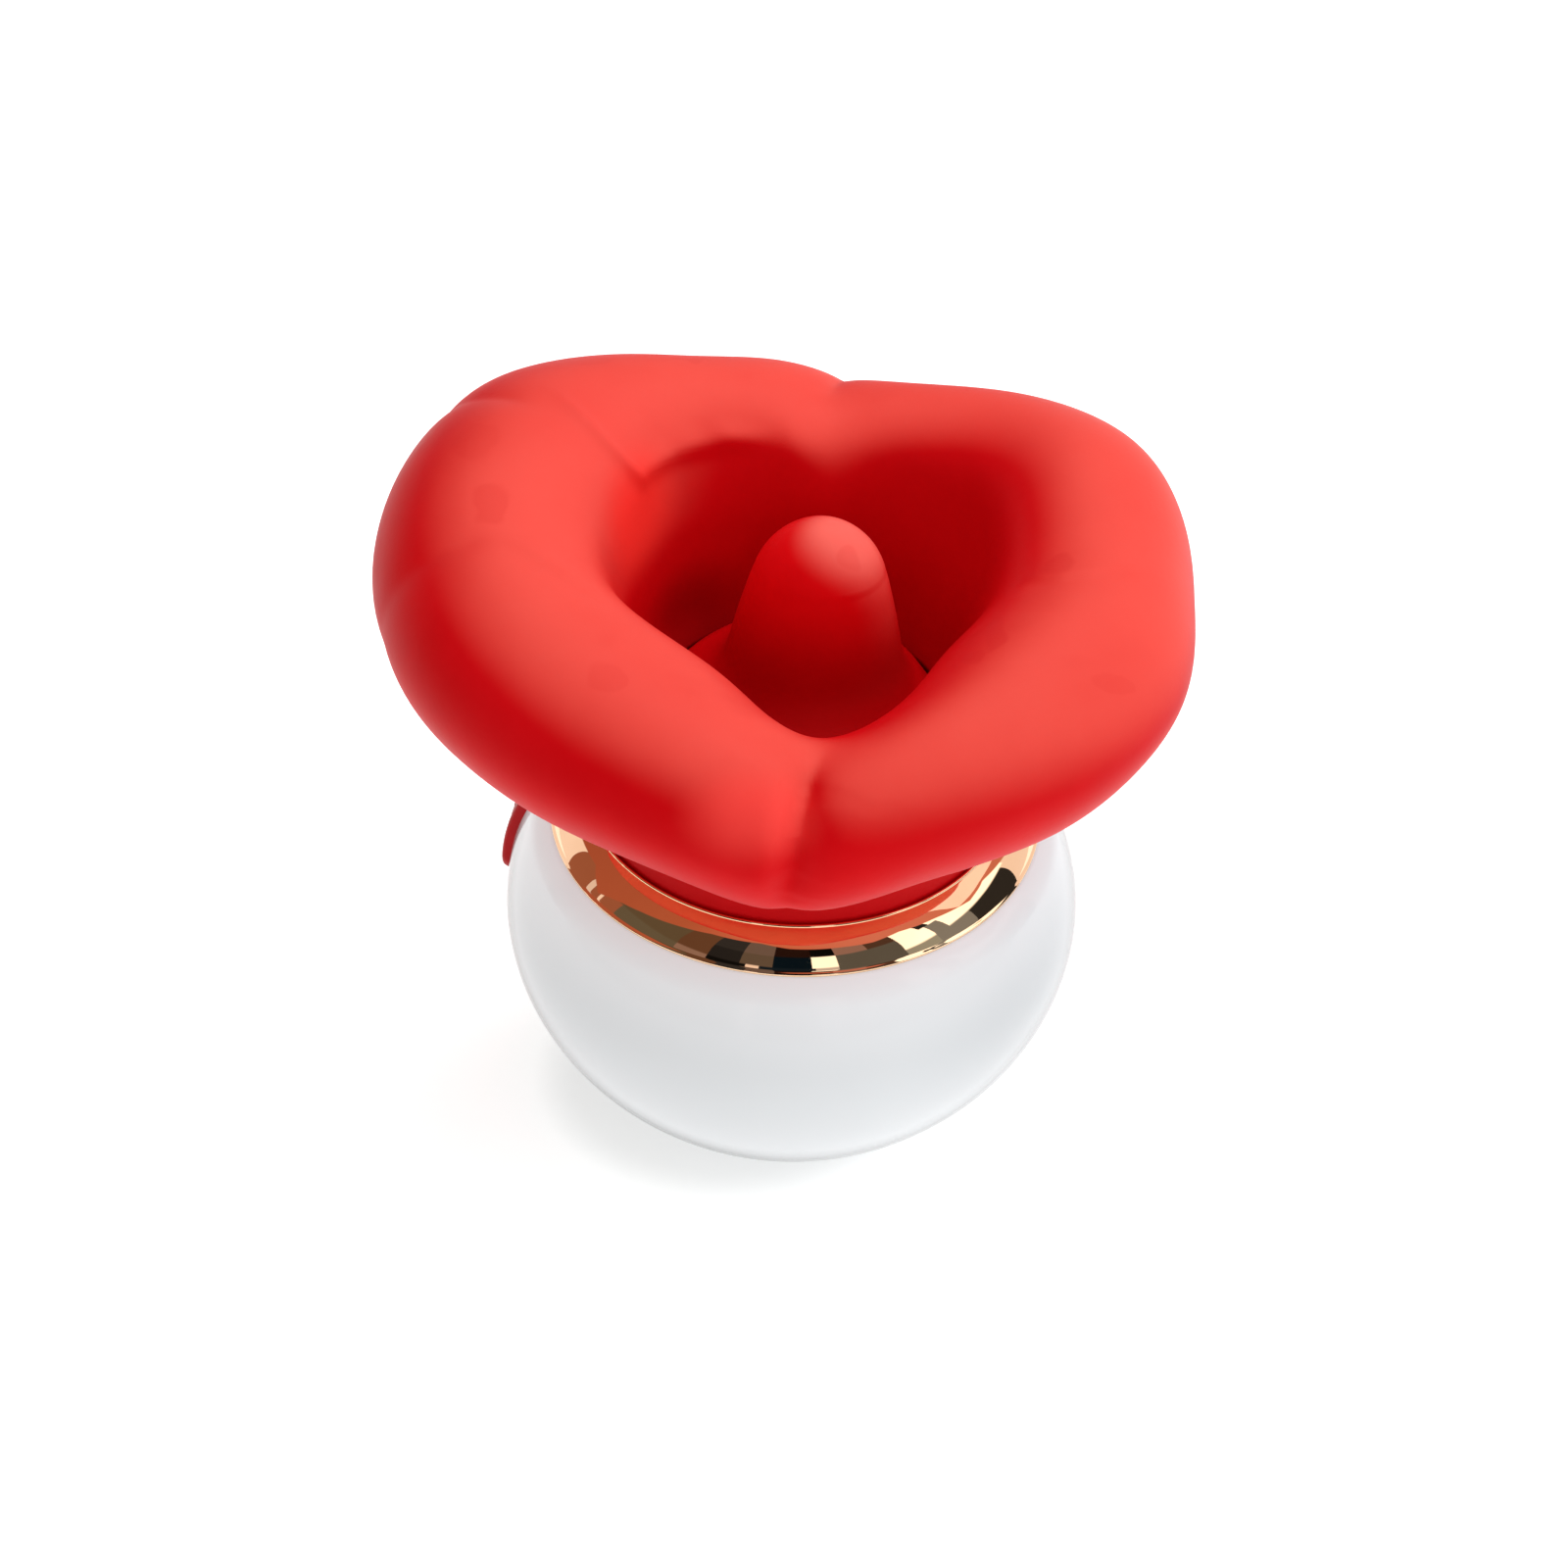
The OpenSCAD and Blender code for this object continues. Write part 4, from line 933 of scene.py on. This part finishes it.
def contact_pins():
    vs, fs, off = [], [], 0
    for y in (3.0, -3.0):
        prof = [(0, -3.9), (1.1, -3.9), (1.2, -3.8), (1.2, -0.05), (1.17, 0.02), (1.08, 0.07), (0.9, 0.095), (0.5, 0.1), (0, 0.1)]

        def place(p, y=y):
            return on_base(KEY_AZ, CHG_H, np.stack([p[:, 2], p[:, 0] + y, p[:, 1]], 1))
        v, f = spun_solid(prof, 56, place)
        vs.append(v)
        fs += [tuple(i + off for i in q) for q in f]
        off += len(v)
    return add_mesh("charge_pins", np.vstack(vs), fs, M_CONTACT, sharp=50)


pins = contact_pins()

# foot pad: a soft disc with an eased rim and three shallow grip grooves
pad_prof = [(0, 0.12), (2.0, 0.12), (2.2, 0.0), (4.2, 0.0), (4.35, 0.12), (4.75, 0.12), (4.9, 0.0), (7.4, 0.0), (7.55, 0.12), (7.95, 0.12), (8.1, 0.0),
            (10.4, 0.0), (10.55, 0.12), (10.95, 0.12), (11.1, 0.0), (11.6, 0.0), (11.85, 0.07), (12.0, 0.25), (12.0, 1.25), (0, 1.25)]
pv, pf = spun_solid(pad_prof, 160)
foot = add_mesh("foot", pv, pf, M_FOOT, sharp=40)

# collar: bead at the foot, convex band, rolled inner edge
band = centripetal(np.array([[24.985, 0.55], [24.9, 0.7], [24.74, 0.95], [24.57, 1.19], [24.39, 1.43], [24.21, 1.66], [24.01, 1.89], [23.81, 2.11], [23.6, 2.32],
                             [23.38, 2.53], [23.15, 2.72], [22.92, 2.91], [22.68, 3.09], [22.43, 3.26], [22.18, 3.42], [22.0, 3.535]]), 5)
band = smooth_along(band, 4.0, 0, False)
edge_in = [(22.0, 3.535)] + arc_pts(21.75, 3.61, 0.2, -12, 180, 14) + [(21.55, 3.4)]
bead = [(25.16, 0.0)] + arc_pts(25.16, 0.1, 0.1, -90, 0, 5)[1:] + [(25.26, 0.2)] + arc_pts(25.12, 0.22, 0.14, 0, 46, 6)[1:]
bead += [(25.1, 0.435), (25.02, 0.51)]
collar_prof = [(21.55, 0.0)] + bead + [tuple(p) for p in band] + [tuple(p) for p in edge_in[1:]]
collar = lathe("collar", [(r, z + RIM_Z) for r, z in collar_prof], M_GILT, n=360, closed=True, sharp=30)

# ------------------------------------------------------------------ who rides on what
for ob, body, nodes, slot in (
        (lips, "housing", ["lip_cup"], "red_silicone"), (tongue, "tongue", ["tongue_cover"], "red_silicone"),
        (front, "housing", ["front_shell"], "white_gloss"), (rear, "housing", ["rear_shell"], "white_gloss"),
        (collar, "housing", ["collar_ring"], "rose_gilt"), (panel, "housing", ["keypad_panel"], "red_silicone"),
        (power, "power_button", ["power_button"], "red_silicone"), (mode, "mode_button", ["mode_button"], "red_silicone"),
        (pins, "housing", ["charge_contacts"], "rose_gilt"), (foot, "housing", ["foot_pad"], "red_silicone")):
    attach(ob, body)
    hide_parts(*nodes)

# ------------------------------------------------------------------ camera
C = np.array([0.0, -294.61875947955133, 270.5545907256616 + Z0]) * MM
F = np.array([-0.0031758532864521, 0.7560733077390122, -0.65447923365107])
R = np.array([0.9992576829525156, 0.027526877544039464, 0.026950956811313275])
U = np.array([-0.03839266878289069, 0.6539078102739441, 0.7555994829580436])
cam = bpy.data.cameras.new("camera")
cam.sensor_width = 36
cam.lens = 3869.221 * 36 / 1600
cam.clip_start, cam.clip_end = 0.02, 20
cam_ob = bpy.data.objects.new("camera", cam)
scene.collection.objects.link(cam_ob)
rot = Matrix((R, U, -F)).transposed()
cam_ob.matrix_world = Matrix.Translation(Vector(C)) @ rot.to_4x4()
scene.camera = cam_ob


# ------------------------------------------------------------------ floor
def floor_mat():
    m = Mat("paper_floor")
    n1 = m.noise(3.0, 3.0, 0.5)
    n2 = m.noise(900.0, 3.0, 0.6)
    m.set(Base_Color=m.mix(n1, (0.77, 0.77, 0.765), (0.79, 0.79, 0.785)), Roughness=0.9, Specular_IOR_Level=0.1, Normal=m.bump(n2, 0.00002, 0.3))
    # the floor glows evenly, so its shadows stay pale; close by the base's left a painted shadow darkens the glow
    painted_shadow = m.math("MAXIMUM", m.math("MULTIPLY", m.blob((-15.0, -6.0, 0.0), (34.0, 27.0, 60.0), 0.75), 0.15), m.math("MULTIPLY", m.blob((-6.0, -4.0, 0.0), (25.0, 21.0, 60.0), 0.35), 0.38))
    m.set(Emission_Color=m.mix(painted_shadow, (1.0, 1.0, 0.995), (0.0, 0.0, 0.0)), Emission_Strength=0.62)
    return m.m


k = 96
ang = np.arange(k) * 2 * math.pi / k
fv = [(0, 0, 0)] + [(320 * math.cos(t), 320 * math.sin(t), 0) for t in ang]
ff = [(0, 1 + i, 1 + (i + 1) % k) for i in range(k)]
floor = add_mesh("floor", np.array(fv) - np.array([0, 0, 0.02]), ff, floor_mat(), smooth=False)


# ------------------------------------------------------------------ light
def area(name, direction, dist, size, power, colour=(1, 1, 1), target=(0, 0, 0.05), size_y=None):
    a, e = math.radians(direction[0]), math.radians(direction[1])
    light = bpy.data.lights.new(name, "AREA")
    light.energy, light.size, light.color = power, size, colour
    if size_y:
        light.shape, light.size_y = "RECTANGLE", size_y
    ob = bpy.data.objects.new(name, light)
    scene.collection.objects.link(ob)
    pos = Vector(target) + Vector((math.cos(a) * math.cos(e), math.sin(a) * math.cos(e), math.sin(e))) * dist
    ob.location = pos
    ob.rotation_euler = (Vector(target) - pos).to_track_quat("-Z", "Y").to_euler()
    return ob


area("key", (60, 70), 1.0, 0.5, 4.16, (1.0, 0.99, 0.975))
area("side", (10, 45), 1.0, 0.5, 0.6, (1.0, 1.0, 1.0))

world = bpy.data.worlds.new("studio")
scene.world = world
world.use_nodes = True
wt = world.node_tree
for n in list(wt.nodes):
    wt.nodes.remove(n)


class World(Mat):
    def __init__(self, tree):
        self.t = tree
        self.co = tree.nodes.new("ShaderNodeTexCoord").outputs["Generated"]


w = World(wt)
sep = w.node("ShaderNodeSeparateXYZ")
w.put(sep.inputs[0], w.vmath("NORMALIZE", w.co))
dx, dy, dz = sep.outputs
az = w.math("ARCTAN2", dx, w.math("MULTIPLY", dy, -1.0))      # 0 straight to the front, + to the right, radians
el = w.math("ARCSINE", dz)


def strip(stops):
    """Colours round the horizon: (azimuth in degrees, colour), each held to the next stop."""
    out = []
    for i, (a, c) in enumerate(stops):
        c = (c, c, c) if isinstance(c, (int, float)) else c
        out.append(((a + 180) / 360, c))
    return w.ramp(w.remap(az, -math.pi, math.pi, 0.0, 1.0), out, "CONSTANT")


# the room that polished parts show, in three bands of height: dark in front with a few windows, pale to the sides and behind
TAN, CLAY, PANE = (1.06, 0.93, 0.88), (0.36, 0.13, 0.075), (1.9, 1.85, 1.75)
DUN, GREY, NAVY = (0.125, 0.10, 0.065), (0.115, 0.12, 0.115), (0.008, 0.016, 0.028)
low = strip([(-180, TAN), (-110, CLAY), (-97, (0.84, 0.73, 0.72)), (-94, CLAY), (-89, TAN), (-87.5, CLAY), (-80, (0.14, 0.127, 0.093)), (-50, (0.30, 0.20, 0.17)), (-36, 0.006), (-19, (1.0, 0.85, 0.78)),
             (-13, NAVY), (10, (0.63, 0.60, 0.62)), (20, GREY), (50, (0.35, 0.39, 0.37)), (66, (0.25, 0.27, 0.28)), (83, 0.03), (109, TAN)])
mid = strip([(-180, TAN), (-110, CLAY), (-83, DUN), (-50, (0.14, 0.07, 0.04)), (-36, (0.02, 0.02, 0.022)), (-22, (0.127, 0.10, 0.08)), (-8, (0.003, 0.009, 0.018)),
             (9.5, (1.7, 1.7, 1.6)), (21, GREY), (50, PANE), (66, (0.25, 0.27, 0.28)), (72, PANE), (112, TAN)])
high = strip([(-180, TAN), (-110, CLAY), (-66, DUN), (-50, (0.14, 0.07, 0.04)), (-36, (0.033, 0.033, 0.036)), (-22, (0.16, 0.12, 0.11)), (-8, (0.02, 0.008, 0.006)),
              (9.5, 0.004), (21, (0.31, 0.19, 0.17)), (36, (0.09, 0.05, 0.035)), (50, PANE), (63, (0.02, 0.02, 0.02)), (68, PANE), (140, TAN)])
room = w.mix(w.remap(el, math.radians(20), math.radians(22), 0.0, 1.0), low, mid)
room = w.mix(w.remap(el, math.radians(35.3), math.radians(36.5), 0.0, 1.0), room, high)


def curve(stops):
    """A height in degrees that varies round the horizon, straight between stops; as a fraction of 90."""
    out = [((a + 180) / 360, (h / 90, h / 90, h / 90)) for a, h in stops]
    return w.ramp(w.remap(az, -math.pi, math.pi, 0.0, 1.0), out)


# over the room hangs the glow of the lips themselves
edge = curve([(-180, 22), (-117, 20), (-103, 24), (-90, 9), (-80, 22), (-72, 29), (-57, 39), (-42, 48), (-29, 50), (-16, 52), (0, 47.5), (15, 46.5), (28, 45.5),
              (42, 43), (58, 45), (75, 38), (90, 27), (103, 30), (117, 20), (180, 22)])
over = w.math("SUBTRACT", w.math("DIVIDE", el, math.pi / 2), edge)
glow = w.ramp(w.remap(az, -math.pi, math.pi, 0.0, 1.0), [((a + 180) / 360, c) for a, c in (
    (-120, (0.42, 0.11, 0.06)), (-57, (0.48, 0.13, 0.068)), (-29, (0.62, 0.17, 0.105)), (0, (0.64, 0.18, 0.11)), (45, (0.74, 0.24, 0.18)), (120, (0.66, 0.22, 0.15)))])
room = w.mix(w.remap(over, -0.006, 0.008, 0.0, 1.0, True), room, glow)
sky = w.mix(w.remap(dy, -0.25, 0.45, 0.0, 1.0, True), (1.15, 1.15, 1.15), (2.3, 2.3, 2.3))
col = w.mix(w.remap(el, math.radians(60), math.radians(66), 0.0, 1.0, True), room, sky)
lp = w.node("ShaderNodeLightPath")
# the matt light of the same room, evened out: overhead, from the right and a little from the front
even = w.math("MULTIPLY", w.math("MAXIMUM", dx, 0.0), 0.95)
even = w.math("ADD", even, w.math("MULTIPLY", w.math("MAXIMUM", w.math("MULTIPLY", dx, -1.0), 0.0), 0.09))
even = w.math("ADD", even, w.math("MULTIPLY", w.math("MAXIMUM", w.math("MULTIPLY", dy, -1.0), 0.0), 0.41))
even = w.math("ADD", even, w.math("MULTIPLY", w.math("MAXIMUM", dz, 0.0), 0.54))
tint = w.mix(w.remap(dx, -0.7, 0.7, 0.0, 1.0), (1.0, 0.96, 0.91), (0.96, 1.0, 1.035))
even = w.mix(1.0, even, tint, "MULTIPLY")
lit = w.mix(lp.outputs["Is Glossy Ray"], even, col)
out_col = w.mix(lp.outputs["Is Camera Ray"], lit, (1.0, 1.0, 1.0))
bg = w.node("ShaderNodeBackground")
w.put(bg.inputs["Color"], out_col)
bg.inputs["Strength"].default_value = 1.0
wo = w.node("ShaderNodeOutputWorld")
wt.links.new(bg.outputs[0], wo.inputs["Surface"])

scene.view_settings.view_transform = "Standard"
scene.view_settings.look = "None"
scene.view_settings.exposure = 0.0
scene.view_settings.gamma = 1.0
